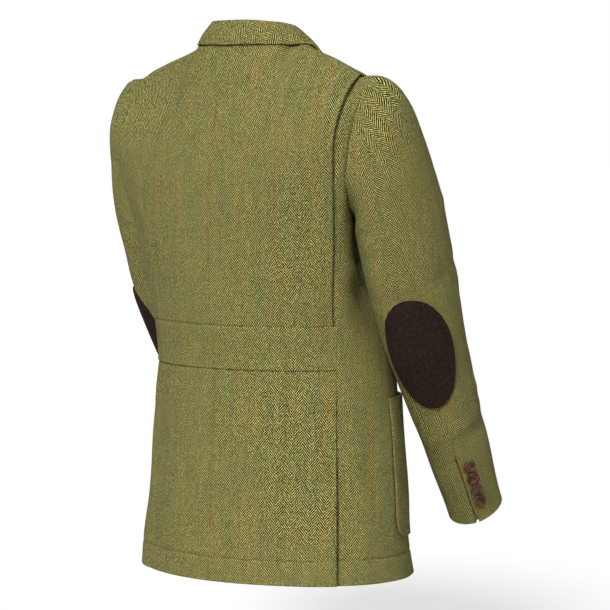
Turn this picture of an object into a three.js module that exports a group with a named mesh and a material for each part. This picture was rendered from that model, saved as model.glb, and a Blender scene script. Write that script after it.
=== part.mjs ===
// Single-breasted sports jacket with an action back, half belt, side vents, patch pockets and
// elbow patches, filled out as if it were worn. Millimetres, +Z up. The front faces -Y and the
// wearer's left is +X. The origin lies between the two shoulder tips, level with the side neck.

import * as THREE from 'three';

// Cloth
const CLOTH = 2.2; // one wall of cloth with its turned seams
const SEAM_GAP = 0.3; // between two pieces at a seam
const LAYER = CLOTH + SEAM_GAP; // from one layer to the layer on it
const STIFF_LIFT = 1; // extra clearance under a layer on a curved wall

// Heights
const HEM = -751;
const HEM_DROP = 6; // how much lower the front hem hangs
const VENT_TOP = -505;
const BELT_BOTTOM = -453;
const BELT_TOP = -391;
const BUTTON_TOP = -312;
const BUTTON_PITCH = 108;
const BREAK = -295; // where the lapel starts to turn
const ARM_ROWS_FROM = -300; // rows above this bend up to the armhole
const CHEST = -219; // foot of the front armhole
const BLADE = -150; // shoulder blades

// Places round the body, in degrees from centre back
const FOLD_ANGLE = 61; // pleat fold
const NECK_ANGLE = 150; // side neck, on the front
const LAP = 20; // the fronts cross centre front by this much
const SEAM_ANGLES = [
  { z: HEM, back: 58.5, front: 112 },
  { z: -466, back: 63, front: 113 },
  { z: BELT_TOP, back: 65, front: 114 },
  { z: CHEST, back: 65, front: 114 },
];

// Sections of the body from hem to armhole. flare pushes the side-back seam out behind the arm,
// squeeze is how far the arm presses the side in.
const BODY = [
  { z: -758, halfX: 205, backY: 108, frontY: -240, midY: -56, flare: 0, squeeze: 0 },
  { z: -700, halfX: 199, backY: 104, frontY: -222, midY: -56, flare: 0, squeeze: 0 },
  { z: -630, halfX: 193, backY: 99, frontY: -213, midY: -56, flare: 0, squeeze: 0 },
  { z: -466, halfX: 182, backY: 93, frontY: -202, midY: -54, flare: 0, squeeze: 0 },
  { z: -391, halfX: 187, backY: 98, frontY: -196, midY: -52, flare: 0, squeeze: 18 },
  { z: -316, halfX: 191, backY: 102, frontY: -188, midY: -49, flare: 7, squeeze: 31 },
  { z: -238, halfX: 190, backY: 101, frontY: -174, midY: -46, flare: 24, squeeze: 33 },
  { z: -190, halfX: 188, backY: 99, frontY: -158, midY: -42, flare: 34, squeeze: 29 },
];
const SQUEEZE = { at: 92, backWidth: 19, frontWidth: 42 };
const FLARE = { from: 66, to: 86, x: 0.75, y: 0.66 };

// Upper back between the pleats: the fold line and centre back
const BACK = [
  { z: BELT_TOP, foldX: 163.5, foldY: 20.5, centreY: 98 },
  { z: -353, foldX: 168, foldY: 28, centreY: 100 },
  { z: -314, foldX: 175, foldY: 36, centreY: 102 },
  { z: -257, foldX: 184, foldY: 46, centreY: 103 },
  { z: -195, foldX: 194.5, foldY: 61, centreY: 101 },
  { z: BLADE, foldX: 200.5, foldY: 69.5, centreY: 95 },
];
// Near the pleats the back stays upright longer: extra reach of the curve at the blades and shoulder
const PLEAT_BEND = { from: 0.45, foot: 28, head: -10 };

// Shoulder seam and back neck
const TIP = { x: 206, y: 0, z: -44.5 };
const FOLD_TOP_X = 196;
const NECK = { x: 78, y: -5, z: 7, backY: 50, backZ: 4, frontY: -75, frontZ: -53 };
const NECK_SHARE = 0.43; // share of the half back's top edge that is neck
const TURN_UNDER = 0.93; // share of the half back where the pleat's fold starts to turn under
const RIDGE = [
  { x: 60, z: 14 },
  { x: 78, z: 7 },
  { x: 108, z: -8 },
  { x: 150, z: -23 },
  { x: 177, z: -34 },
  { x: 206, z: -44.5 },
];

// Armhole seam of the left side. 90 is the shoulder tip, 0 the back, 270 the foot.
const BACK_FOOT = 330; // side-back seam meets the armhole
const FRONT_FOOT = 225; // side-front seam meets the armhole
const ARMHOLE = [
  { angle: 0, x: 203, y: 41, z: -160 },
  { angle: 30, x: 207, y: 36, z: -121 },
  { angle: 60, x: 208, y: 20, z: -80 },
  { angle: 90, x: 206, y: 0, z: -44.5 },
  { angle: 120, x: 191, y: -44, z: -73 },
  { angle: 150, x: 170, y: -86, z: -115 },
  { angle: 180, x: 158, y: -102, z: -158 },
  { angle: 210, x: 155, y: -100, z: -200 },
  { angle: FRONT_FOOT, x: 157, y: -85, z: CHEST },
  { angle: 240, x: 158, y: -66, z: -233 },
  { angle: 270, x: 166, y: -25, z: -241 },
  { angle: 300, x: 184, y: 10, z: -228 },
  { angle: 330, x: 198, y: 37, z: -192 },
];
const ARM_STEP = 15; // every seam round the armhole is cut at these angles

// Sleeve: centre, outer half sizes across X and across the arm's tilt
const SLEEVE = [
  { x: 222, y: -62, z: -262, halfX: 52, halfN: 80 },
  { x: 222, y: -84, z: -330, halfX: 52, halfN: 78 },
  { x: 221, y: -107, z: -390, halfX: 50, halfN: 72 },
  { x: 219, y: -134, z: -446, halfX: 48, halfN: 65 },
  { x: 217, y: -165, z: -504, halfX: 44.5, halfN: 57 },
  { x: 214, y: -207, z: -580, halfX: 42, halfN: 50 },
  { x: 209, y: -249, z: -655, halfX: 38.5, halfN: 43.5 },
  { x: 208, y: -257, z: -668, halfX: 38, halfN: 43 },
];
const HIND_SEAM = 30; // sleeve seam behind the elbow, angle at the armhole
const FORE_SEAM = 240;
const SLEEVE_TWIST = 12; // the seams turn outward by this towards the cuff
const HEAD_STEPS = [0, 0.1, 0.22, 0.36, 0.52, 0.7, 0.86];
const CUFF_VENT = 122;
const CUFF_UNDERLAP = 16; // degrees of under sleeve below the top sleeve's vent edge
const SINK = 0.6; // how much deeper than one layer it lies there

// Trim
const PATCH = { along: 84, across: 50, centre: 0.352, turn: 3, narrowing: 0.12 };
const POCKET = { back: 98, front: 151, top: -497, bottom: -694, corner: 28, thick: 2.4 };
const FRONT_BUTTON = { radius: 10.5, thick: 4.2 };
const CUFF_BUTTON = { radius: 9.5, thick: 3.6, pitch: 20.2, first: 36, from: 17 };

// Collar stations from centre back to the notch: neck seam, fold, edge of the fall
const COLLAR = [
  { neckX: 0, neckY: 50, neckZ: 5.3, foldX: 0, foldY: 45, foldZ: 30, edgeX: 0, edgeY: 61, edgeZ: -1 },
  { neckX: 41, neckY: 41, neckZ: 5.8, foldX: 36, foldY: 37, foldZ: 30, edgeX: 54, edgeY: 48.8, edgeZ: 0.2 },
  { neckX: 68, neckY: 21, neckZ: 7.3, foldX: 60, foldY: 15, foldZ: 28, edgeX: 87.5, edgeY: 15.5, edgeZ: -0.4 },
  { neckX: 75.3, neckY: 8.3, neckZ: 8.6, foldX: 65.8, foldY: 0.7, foldZ: 25.6, edgeX: 97, edgeY: -1, edgeZ: 0.8 },
  { neckX: 78, neckY: -6, neckZ: 9, foldX: 68.5, foldY: -15, foldZ: 21.5, edgeX: 102, edgeY: -18, edgeZ: -5.5 },
  { neckX: 78.5, neckY: -28.5, neckZ: -3.8, foldX: 70, foldY: -36, foldZ: 9, edgeX: 106, edgeY: -36, edgeZ: -24 },
  { neckX: 75.5, neckY: -47, neckZ: -20, foldX: 70, foldY: -55, foldZ: -9, edgeX: 109, edgeY: -51, edgeZ: -44 },
  { neckX: 72, neckY: -62, neckZ: -34, foldX: 68, foldY: -69, foldZ: -27, edgeX: 110, edgeY: -66, edgeZ: -64 },
];

// Small helpers
const RAD = Math.PI / 180;
const lerp = (a, b, k) => a + (b - a) * k;
const clamp01 = (x) => Math.min(1, Math.max(0, x));
const vec = (x, y, z) => new THREE.Vector3(x, y, z);
const mirror = (p) => vec(-p.x, p.y, p.z);
const steps = (from, to, count) =>
  Array.from({ length: count + 1 }, (_, i) => lerp(from, to, i / count));

/** Goes smoothly from 0 at from to 1 at to. */
function ease(from, to, x) {
  const k = clamp01((x - from) / (to - from));
  return k * k * (3 - 2 * k);
}

/** A smooth function through one column of a table. A closed one repeats after period. */
function through(rows, key, value, period = 0) {
  const list = period
    ? [rows[rows.length - 1], ...rows, rows[0], rows[1]].map((row, i, all) => {
        const turn = i === 0 ? -period : i >= all.length - 2 ? period : 0;
        return { at: row[key] + turn, is: row[value] };
      })
    : rows.map((row) => ({ at: row[key], is: row[value] }));
  const slope = list.map((_, i) => {
    const before = list[Math.max(0, i - 1)];
    const after = list[Math.min(list.length - 1, i + 1)];
    return (after.is - before.is) / (after.at - before.at);
  });
  return (x) => {
    const at = period ? ((x % period) + period) % period : x;
    let i = 0;
    while (i < list.length - 2 && at > list[i + 1].at) i += 1;
    const span = list[i + 1].at - list[i].at;
    const k = clamp01((at - list[i].at) / span);
    const rise = list[i + 1].is - list[i].is;
    const bend = slope[i] * span - rise;
    const unbend = -slope[i + 1] * span + rise;
    return list[i].is + k * rise + k * (1 - k) * (bend * (1 - k) + unbend * k);
  };
}

/** One function for each named column of a table. */
function columns(rows, key, names, period = 0) {
  return Object.fromEntries(names.map((name) => [name, through(rows, key, name, period)]));
}

/** A cubic curve from a to d with its two handles b and c. */
function cubic(a, b, c, d, k) {
  const j = 1 - k;
  return a.clone().multiplyScalar(j * j * j)
    .addScaledVector(b, 3 * j * j * k)
    .addScaledVector(c, 3 * j * k * k)
    .addScaledVector(d, k * k * k);
}

/** The face direction of a surface at u, v. turn is 1 where v cross u points outward. */
function faceAt(point, u, v, turn) {
  const du = point(u + 1e-3, v).sub(point(u - 1e-3, v));
  const dv = point(u, v + 1e-3).sub(point(u, v - 1e-3));
  return dv.cross(du).normalize().multiplyScalar(turn);
}

/**
 * A closed mesh from an outer and an inner grid of points. flip turns every face round. Opposite
 * edges are cut on the same diagonal, so two pieces fit along a seam.
 */
function closeGrids(outer, inner, flip) {
  const across = outer.length;
  const along = outer[0].length;
  const positions = [...outer.flat(), ...inner.flat()].flatMap((p) => [p.x, p.y, p.z]);
  const index = [];
  const quad = (a, b, c, d) => index.push(...(flip ? [a, c, b, a, d, c] : [a, b, c, a, c, d]));
  const top = (i, j) => i * along + j;
  const under = (i, j) => across * along + i * along + j;
  for (let i = 0; i < across - 1; i += 1) {
    for (let j = 0; j < along - 1; j += 1) {
      quad(top(i, j), top(i, j + 1), top(i + 1, j + 1), top(i + 1, j));
      quad(under(i, j), under(i + 1, j), under(i + 1, j + 1), under(i, j + 1));
    }
    const last = along - 1;
    quad(top(i + 1, 0), under(i + 1, 0), under(i, 0), top(i, 0));
    quad(top(i + 1, last), top(i, last), under(i, last), under(i + 1, last));
  }
  for (let j = 0; j < along - 1; j += 1) {
    const last = across - 1;
    quad(top(0, j + 1), top(0, j), under(0, j), under(0, j + 1));
    quad(top(last, j + 1), under(last, j + 1), under(last, j), top(last, j));
  }
  const geometry = new THREE.BufferGeometry();
  geometry.setAttribute('position', new THREE.Float32BufferAttribute(positions, 3));
  geometry.setIndex(index);
  return geometry;
}

/**
 * A wall of cloth over point(u, v), from low to high above it, cut back by half a seam gap at
 * its four edges. edge gives shared face directions at an edge: u0, u1, v0 or v1.
 */
function wall({
  point, us, vs, turn = 1, low = () => 0, high = () => CLOTH, edge = {}, right = false,
  face = (u, v) => faceAt(point, u, v, turn),
}) {
  const outer = [];
  const inner = [];
  us.forEach((u, i) => {
    outer.push([]);
    inner.push([]);
    vs.forEach((v, j) => {
      const base = point(u, v);
      const shared = (i === 0 && edge.u0) || (i === us.length - 1 && edge.u1);
      const sharedRow = (j === 0 && edge.v0) || (j === vs.length - 1 && edge.v1);
      const facing = (shared && shared(v)) || (sharedRow && sharedRow(u)) || face(u, v);
      outer[i].push(base.clone().addScaledVector(facing, high(u, v)));
      inner[i].push(base.clone().addScaledVector(facing, low(u, v)));
    });
  });
  const toward = (p, q) => p.addScaledVector(q.clone().sub(p).normalize(), SEAM_GAP / 2);
  [outer, inner].forEach((grid) => {
    const lastU = us.length - 1;
    const lastV = vs.length - 1;
    vs.forEach((_, j) => {
      toward(grid[0][j], grid[1][j]);
      toward(grid[lastU][j], grid[lastU - 1][j]);
    });
    us.forEach((_, i) => {
      toward(grid[i][0], grid[i][1]);
      toward(grid[i][lastV], grid[i][lastV - 1]);
    });
  });
  if (right) {
    [outer, inner].forEach((grid) => grid.forEach((row) => row.forEach((p) => p.setX(-p.x))));
  }
  return closeGrids(outer, inner, (turn > 0) === right);
}

// Body below the armholes
const bodyAt = columns(BODY, 'z', ['halfX', 'backY', 'frontY', 'midY', 'flare', 'squeeze']);
const seamAt = columns(SEAM_ANGLES, 'z', ['back', 'front']);

/** A point of the body at an angle in degrees from centre back, at a level. */
function body(angle, z) {
  const turn = Math.abs(angle);
  const forward = Math.cos(turn * RAD);
  const depth = forward > 0 ? bodyAt.backY(z) - bodyAt.midY(z) : bodyAt.midY(z) - bodyAt.frontY(z);
  const width = turn < SQUEEZE.at ? SQUEEZE.backWidth : SQUEEZE.frontWidth;
  const pressed = bodyAt.squeeze(z) * Math.exp(-(((turn - SQUEEZE.at) / width) ** 2));
  const flared = bodyAt.flare(z) * (1 - ease(FLARE.from, FLARE.to, turn));
  const x = bodyAt.halfX(z) * Math.sin(turn * RAD) - pressed + flared * FLARE.x;
  const y = bodyAt.midY(z) + depth * forward + flared * FLARE.y;
  const drop = HEM_DROP * (1 - forward) * 0.5 * ease(-600, HEM, z);
  return vec(Math.sign(angle) * x, y, z - drop);
}

// Armhole
const armholeAt = columns(ARMHOLE, 'angle', ['x', 'y', 'z'], 360);
const armhole = (angle) => vec(armholeAt.x(angle), armholeAt.y(angle), armholeAt.z(angle));
const ARM_CENTRE = vec(182, -24, -150);

/** The way the walls stand at the armhole seam, shared by the body and the sleeve. */
function armholeFace(angle) {
  const out = armhole(angle).sub(ARM_CENTRE).setX(0).normalize();
  const behind = Math.max(0, Math.cos(angle * RAD));
  const above = Math.max(0, Math.sin(angle * RAD));
  return out.add(vec(0.7 * behind + 0.2 * above, 0, 0)).normalize();
}

// Upper back
const backAt = columns(BACK, 'z', ['foldX', 'foldY', 'centreY']);
const ridgeAt = through(RIDGE, 'x', 'z');

/** The upper back at a level: an arc of an ellipse through centre back and the fold. */
function backLevel(u, z) {
  const turn = Math.abs(u) * FOLD_ANGLE * RAD;
  const x = (backAt.foldX(z) * Math.sin(turn)) / Math.sin(FOLD_ANGLE * RAD);
  const share = (1 - Math.cos(turn)) / (1 - Math.cos(FOLD_ANGLE * RAD));
  return vec(Math.sign(u) * x, lerp(backAt.centreY(z), backAt.foldY(z), share), z);
}

/** Top edge of the upper back: half the neck, then the shoulder seam. */
function backSeam(u) {
  const share = Math.abs(u);
  if (share < NECK_SHARE) {
    const turn = (share / NECK_SHARE) * 90 * RAD;
    const y = lerp(NECK.y, NECK.backY, Math.cos(turn));
    return vec(Math.sign(u) * NECK.x * Math.sin(turn), y, lerp(NECK.backZ, NECK.z, Math.sin(turn) ** 2));
  }
  const k = (share - NECK_SHARE) / (1 - NECK_SHARE);
  const x = lerp(NECK.x, FOLD_TOP_X, k);
  return vec(Math.sign(u) * x, lerp(NECK.y, TIP.y, k), ridgeAt(x));
}

/** The upper back. u runs from fold to fold, v from 0 at the belt over 1 at the blades to 2. */
function back(u, v) {
  if (v <= 1) return backLevel(u, lerp(BELT_TOP, BLADE, v));
  const foot = backLevel(u, BLADE);
  const rise = foot.clone().sub(backLevel(u, BLADE - 8)).normalize();
  const head = backSeam(u);
  const over = ease(0, NECK_SHARE, Math.abs(u));
  const lean = vec(0, -lerp(0.55, 1, over), lerp(0.83, 0.1, over)).normalize();
  const outer = ease(PLEAT_BEND.from, 1, Math.abs(u));
  const lowHandle = foot.clone().addScaledVector(rise, lerp(50, 32, over) + PLEAT_BEND.foot * outer);
  const highHandle = head.clone().addScaledVector(lean, -lerp(45, 24, over) - PLEAT_BEND.head * outer);
  return cubic(foot, lowHandle, highHandle, head, v - 1);
}
const backV = (z) => (z <= BLADE ? (z - BELT_TOP) / (BLADE - BELT_TOP) : 1 + (z - BLADE) / (TIP.z - BLADE));

// Rows shared by the pieces that meet at the side seams
const LOW_ROWS = [HEM, -746, -736, -718, -694, -660, -610, -556, VENT_TOP - 5, VENT_TOP, BELT_BOTTOM];
const WAIST_ROWS = [BELT_BOTTOM, -422, BELT_TOP];
const RIB_ROWS = [BELT_TOP, -345, ARM_ROWS_FROM];
const TOP_ROWS = [0.25, 0.5, 0.75, 1]; // from ARM_ROWS_FROM to the armhole
const sideRows = [
  ...LOW_ROWS.map((z) => z - ARM_ROWS_FROM),
  ...WAIST_ROWS.slice(1).map((z) => z - ARM_ROWS_FROM),
  ...RIB_ROWS.slice(1).map((z) => z - ARM_ROWS_FROM),
  ...TOP_ROWS,
];

/** Side of the body. w goes from the back seam to the front seam, row is under or over zero. */
function side(w, row) {
  const at = Math.min(row, 0) + ARM_ROWS_FROM;
  if (row <= 0) return body(lerp(seamAt.back(at), seamAt.front(at), w), at);
  const top = armhole(lerp(BACK_FOOT, FRONT_FOOT, w));
  const z = lerp(ARM_ROWS_FROM, top.z, row);
  const onBody = body(lerp(seamAt.back(top.z), seamAt.front(top.z), w), top.z);
  const here = body(lerp(seamAt.back(z), seamAt.front(z), w), z);
  return here.addScaledVector(top.sub(onBody), ease(0, 1, row));
}

/** The way the walls stand at a side seam, turning to the armhole's near the top. */
function seamFace(w, row) {
  const top = armholeFace(lerp(BACK_FOOT, FRONT_FOOT, w));
  return row === 1 ? top : faceAt(side, w, row, 1).lerp(top, ease(0, 1, row)).normalize();
}

// Fronts
/** The top edge of the front: the shoulder seam, then the neck line that the lapel leaves. */
function frontSeam(angle) {
  if (angle <= NECK_ANGLE) {
    const k = (angle - seamAt.front(CHEST)) / (NECK_ANGLE - seamAt.front(CHEST));
    const x = lerp(TIP.x, NECK.x, k);
    return vec(x, lerp(TIP.y, NECK.y, k), ridgeAt(x));
  }
  const turn = ((180 - angle) / (180 - NECK_ANGLE)) * 90 * RAD;
  const y = lerp(NECK.y, NECK.frontY, Math.cos(turn));
  return vec(NECK.x * Math.sin(turn), y, lerp(NECK.z, NECK.frontZ, Math.cos(turn)));
}

/** The front over the body: v below 0 is a level under the chest, 0 to 1 goes up to the shoulder. */
function chest(angle, v) {
  const armAngle = seamAt.front(CHEST);
  const near = 1 - clamp01((angle - armAngle) / (NECK_ANGLE - armAngle));
  const fade = near * near;
  if (v <= 0) {
    const z = CHEST + v;
    const miss = armhole(FRONT_FOOT).sub(body(armAngle, CHEST));
    return body(angle, z).addScaledVector(miss, fade * ease(ARM_ROWS_FROM, CHEST, z));
  }
  const foot = body(angle, CHEST);
  const head = frontSeam(angle);
  const climb = foot.clone().sub(body(angle, CHEST - 8)).normalize();
  const bare = cubic(foot, foot.clone().addScaledVector(climb, 62), head.clone().add(vec(0, -34, -5)), head, v);
  const footEdge = body(armAngle, CHEST);
  const climbEdge = footEdge.clone().sub(body(armAngle, CHEST - 8)).normalize();
  const headEdge = frontSeam(armAngle);
  const bareEdge = cubic(
    footEdge, footEdge.clone().addScaledVector(climbEdge, 62), headEdge.clone().add(vec(0, -34, -5)), headEdge, v);
  return bare.addScaledVector(armhole(lerp(FRONT_FOOT, 90, v)).sub(bareEdge), fade);
}

/** Angle of the front's free edge: the lap, the cutaway below, and the roll line above. */
function freeEdge(v) {
  if (v > 0) return lerp(rollAngle(CHEST), NECK_ANGLE, v ** 1.5);
  const z = CHEST + v;
  return z > BREAK ? rollAngle(z) : 180 + (Math.asin(edgeX(z) / bodyAt.halfX(z)) / RAD);
}
const rollX = (z) => lerp(-LAP, 72, (z - BREAK) / 285);
const rollAngle = (z) => 180 - Math.asin(rollX(z) / bodyAt.halfX(z)) / RAD;
const CUTAWAY = { from: -560, sweep: 78 };

/** How far the free edge crosses centre front below the break. */
function edgeX(z) {
  const k = clamp01((CUTAWAY.from - z) / (CUTAWAY.from - HEM));
  return LAP - CUTAWAY.sweep * (1 - Math.sqrt(1 - Math.min(k, 0.9995) ** 2.6));
}

const frontRows = [
  ...sideRows.filter((row) => row <= 0).map((row) => row + ARM_ROWS_FROM - CHEST),
  ...TOP_ROWS.map((k) => lerp(ARM_ROWS_FROM, CHEST, k) - CHEST),
  ...steps(0, 1, (FRONT_FOOT - 90) / ARM_STEP).slice(1),
];

/** A front, from the side-front seam to its free edge. */
function front(u, v) {
  const z = CHEST + Math.min(v, 0);
  return chest(lerp(seamAt.front(z), freeEdge(v), u), v);
}

// Sleeves
const knotAt = (row) => vec(row.x, row.y, row.z);
const alongSleeve = SLEEVE.map((_, i) =>
  SLEEVE.slice(1, i + 1).reduce((sum, row, j) => sum + knotAt(row).distanceTo(knotAt(SLEEVE[j])), 0));
const SLEEVE_LENGTH = alongSleeve[SLEEVE.length - 1];
const sleeveKnots = SLEEVE.map((row, i) => ({ ...row, step: alongSleeve[i] / SLEEVE_LENGTH }));
const sleeveAt = columns(sleeveKnots, 'step', ['x', 'y', 'z', 'halfX', 'halfN']);
const sleeveCentre = (k) => vec(sleeveAt.x(k), sleeveAt.y(k), sleeveAt.z(k));

/** A point of the sleeve tube below the armpit: k from 0 under the arm to 1 at the cuff. */
function tube(angle, k) {
  const down = sleeveCentre(k + 0.01).sub(sleeveCentre(k - 0.01)).normalize();
  const behind = vec(0, 1, 0).addScaledVector(down, -down.y).normalize();
  const outside = down.clone().cross(behind).normalize();
  const turn = (angle + SLEEVE_TWIST * k) * RAD;
  return sleeveCentre(k)
    .addScaledVector(behind, (sleeveAt.halfN(k) - CLOTH) * Math.cos(turn))
    .addScaledVector(outside, (sleeveAt.halfX(k) - CLOTH) * Math.sin(turn));
}

/** The sleeve. s runs from -1 at the armhole over 0 under the arm to 1 at the cuff. */
function sleeve(angle, s) {
  if (s >= 0) return tube(angle, s);
  const foot = tube(angle, 0);
  const head = armhole(angle);
  const top = Math.max(0, Math.sin(angle * RAD));
  const low = Math.max(0, -Math.sin(angle * RAD));
  const start = vec(0.8, -0.15 - 0.2 * low, lerp(lerp(-0.5, -0.2, low), 0.12, top)).normalize();
  const reach = lerp(lerp(42, 12, low), 50, top);
  const rise = tube(angle, 0).sub(tube(angle, 0.02)).normalize();
  const lift = lerp(lerp(45, 10, low), 146, top);
  return cubic(head, head.clone().addScaledVector(start, reach), foot.clone().addScaledVector(rise, lift), foot, s + 1);
}

// Meshes
const jacket = new THREE.Group();
jacket.name = 'sports_jacket';
const finish = (color, roughness) => () => new THREE.MeshStandardMaterial({ color, roughness, metalness: 0 });
const tweed = finish(0x6e6b3e, 0.95);
const felt = finish(0x38241f, 1);
const horn = finish(0x784a36, 0.35);

/** Adds one named piece. */
function add(name, geometry, material = tweed) {
  const mesh = new THREE.Mesh(geometry, material());
  mesh.name = name;
  jacket.add(mesh);
}

/** Upper back, folded under at both pleats. */
function buildBack() {
  const turned = TURN_UNDER + 0.005;
  const half = [...steps(0, NECK_SHARE, 4), ...steps(NECK_SHARE, TURN_UNDER, 5).slice(1), turned, 1];
  const us = [...half.slice(1).reverse().map((u) => -u), ...half];
  const vs = [...steps(0, 1, 6), ...steps(1, 2, 6).slice(1)];
  const low = (u) => (Math.abs(u) >= turned ? -LAYER : 0);
  add('back_upper', wall({ point: back, us, vs, low }));
}

/** Side-back strip: from under the pleat round to the side-back seam and the armhole. */
function buildStrip(right) {
  const seamRows = [...RIB_ROWS.map((z) => z - ARM_ROWS_FROM), ...TOP_ROWS];
  const armRows = steps(BACK_FOOT, 450, (450 - BACK_FOOT) / ARM_STEP).slice(1);
  const rows = [
    ...seamRows.map((row) => ({ outer: side(0, row), face: seamFace(0, row) })),
    ...armRows.map((angle) => ({ outer: armhole(angle), face: armholeFace(angle) })),
  ];
  const under = 2 * LAYER + STIFF_LIFT;
  const grid = (w, row) => {
    const i = Math.min(rows.length - 2, Math.max(0, Math.floor(row)));
    const outer = rows[i].outer.clone().lerp(rows[i + 1].outer, row - i);
    const v = backV(outer.z);
    const inner = back(0.9, v).addScaledVector(faceAt(back, 0.9, v, 1), -under);
    const turnAt = back(1.02, v).addScaledVector(faceAt(back, 1, v, 1), -under - 1);
    const k = 1 - w;
    return inner.multiplyScalar(k * k).addScaledVector(turnAt, 2 * w * k).addScaledVector(outer, w * w);
  };
  const edge = { u1: (row) => rows[Math.round(row)].face };
  const vs = rows.map((_, i) => i);
  return wall({ point: grid, us: steps(0, 1, 5), vs, edge, right });
}

/** Belt and skirt: the back between the side-back seams. */
function lowerBack(u, z) {
  return body(u * seamAt.back(z), z);
}

/** Side panel, with the underlap of the vent below the skirt. */
function buildSide(right) {
  const underlap = 0.17;
  const point = (w, row) => {
    const z = Math.min(row, 0) + ARM_ROWS_FROM;
    const from = z < VENT_TOP - 1 ? -underlap : 0;
    return side(w + from * (1 - w) ** 14, row);
  };
  const columnsW = steps(0, 1, 7);
  const edge = { u0: (row) => seamFace(0, row), u1: (row) => seamFace(1, row), v1: (w) => seamFace(w, 1) };
  return wall({ point, us: columnsW, vs: sideRows, edge, right });
}

/** How far the left front stands off where it lies over the right one. */
const overlapLift = (x, v) => (LAYER + STIFF_LIFT) * ease(62, 30, x) * ease(2, -16, v);

/** A front. The left one is lifted over the other near centre front. */
function buildFront(right) {
  const lift = (u, v) => (right ? 0 : overlapLift(front(u, v).x, v));
  const us = [...steps(0, 0.8, 8), 0.87, 0.93, 1];
  const rowOf = (z) => (z <= ARM_ROWS_FROM ? z - ARM_ROWS_FROM : (z - ARM_ROWS_FROM) / (CHEST - ARM_ROWS_FROM));
  const edge = {
    u0: (v) => (v >= 0 ? armholeFace(lerp(FRONT_FOOT, 90, v)) : seamFace(1, rowOf(CHEST + v))),
  };
  return wall({
    point: front, us, vs: frontRows, edge, right, low: lift, high: (u, v) => lift(u, v) + CLOTH,
  });
}

/** A lapel, lying on its front from the roll line out to its edge and up to the notch. */
function buildLapel(right) {
  const start = right ? -32 : BREAK - CHEST + 4;
  const notch = { spread: 26.5, level: 0.5, gorge: 0.74, tip: 1.8 };
  const yoke = TIP.z - CHEST;
  const climbed = (v) => (v < 0 ? v : v * yoke) - (BREAK - CHEST);
  const levelAt = (w, k) => {
    const height = lerp(start, lerp(notch.gorge, notch.level, w) * yoke, k);
    return height < 0 ? height : height / yoke;
  };
  const spot = (w, k) => {
    const v = levelAt(w, k);
    const outer = freeEdge(v) - notch.tip - notch.spread * clamp01(climbed(v) / climbed(notch.level));
    const hidden = right && v < 0 ? Math.max(0, 4 - 2 * rollX(CHEST + v)) / bodyAt.halfX(CHEST + v) / RAD : 0;
    return [lerp(freeEdge(v) - 0.6 - hidden, outer, w), v];
  };
  const point = (w, k) => chest(...spot(w, k));
  const roll = 3;
  const belly = (w, k) => {
    const rise = STIFF_LIFT * ease(0, 0.3, w) * ease(0, 0.2, k);
    const base = LAYER + rise + (right ? 0 : overlapLift(point(w, k).x, levelAt(w, k)));
    return base + roll * Math.sin(Math.PI * clamp01(w)) * ease(0, 0.3, k);
  };
  return wall({
    point, face: (w, k) => faceAt(chest, ...spot(w, k), 1),
    us: steps(0, 1, 6), vs: steps(0, 1, 11), turn: -1, right,
    low: belly, high: (w, k) => belly(w, k) + CLOTH,
  });
}

/** Collar: the stand up from the neck seam, over the fold and down the fall, all round. */
function buildCollar() {
  const last = COLLAR.length - 1;
  const names = Object.keys(COLLAR[0]);
  const at = columns(COLLAR.map((row, i) => ({ ...row, i })), 'i', names);
  const foldRadius = 3;
  const place = (name, s) => vec(at[`${name}X`](s), at[`${name}Y`](s), at[`${name}Z`](s));
  const station = (s) => {
    const [neck, fold, edge] = ['neck', 'fold', 'edge'].map((name) => place(name, Math.abs(s)));
    if (s < 0) [neck, fold, edge].forEach((p) => p.setX(-p.x));
    const out = edge.clone().sub(neck).setZ(0).normalize();
    const crown = fold.clone().add(vec(0, 0, foldRadius));
    const path = new THREE.CatmullRomCurve3([
      neck,
      neck.clone().lerp(fold, 0.55).addScaledVector(out, -1.5),
      fold.clone().addScaledVector(out, -foldRadius),
      crown,
      fold.clone().addScaledVector(out, foldRadius),
      fold.clone().lerp(edge, 0.5).addScaledVector(out, 4),
      edge,
    ], false, 'centripetal');
    return path;
  };
  const point = (s, k) => station(s).getPoint(clamp01(k));
  const spread = steps(0, last, 15);
  const us = [...spread.slice(1).reverse().map((s) => -s), ...spread];
  const vs = [0, 0.16, 0.31, 0.42, 0.5, 0.58, 0.68, 0.84, 1];
  const safe = (s, k) => point(s, Math.min(0.999, Math.max(0.001, k)));
  return wall({ point: safe, us, vs, turn: -1, low: () => -CLOTH / 2, high: () => CLOTH / 2 });
}

/** Top sleeve or under sleeve, between its two seams. underlap tucks it in at the cuff vent. */
function buildSleeve(from, to, underlap, right) {
  const ventTop = 1 - CUFF_VENT / SLEEVE_LENGTH;
  const sunk = ventTop + 0.015;
  const tucked = ventTop + 0.03;
  const vs = [...HEAD_STEPS.map((k) => k - 1), ...steps(0, ventTop, 6), sunk, ...steps(tucked, 1, 3)];
  const us = steps(from, to, (to - from) / ARM_STEP);
  const nearEdge = (angle) => ((angle - from) / (to - from)) ** 12;
  const point = (angle, s) => sleeve(angle + (s >= tucked ? underlap * nearEdge(angle) : 0), s);
  const low = (angle, s) => (underlap && s >= sunk ? -(LAYER + SINK) * nearEdge(angle) : 0);
  const edge = { v0: armholeFace };
  return wall({ point, us, vs, turn: -1, low, high: (angle, s) => low(angle, s) + CLOTH, edge, right });
}

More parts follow.
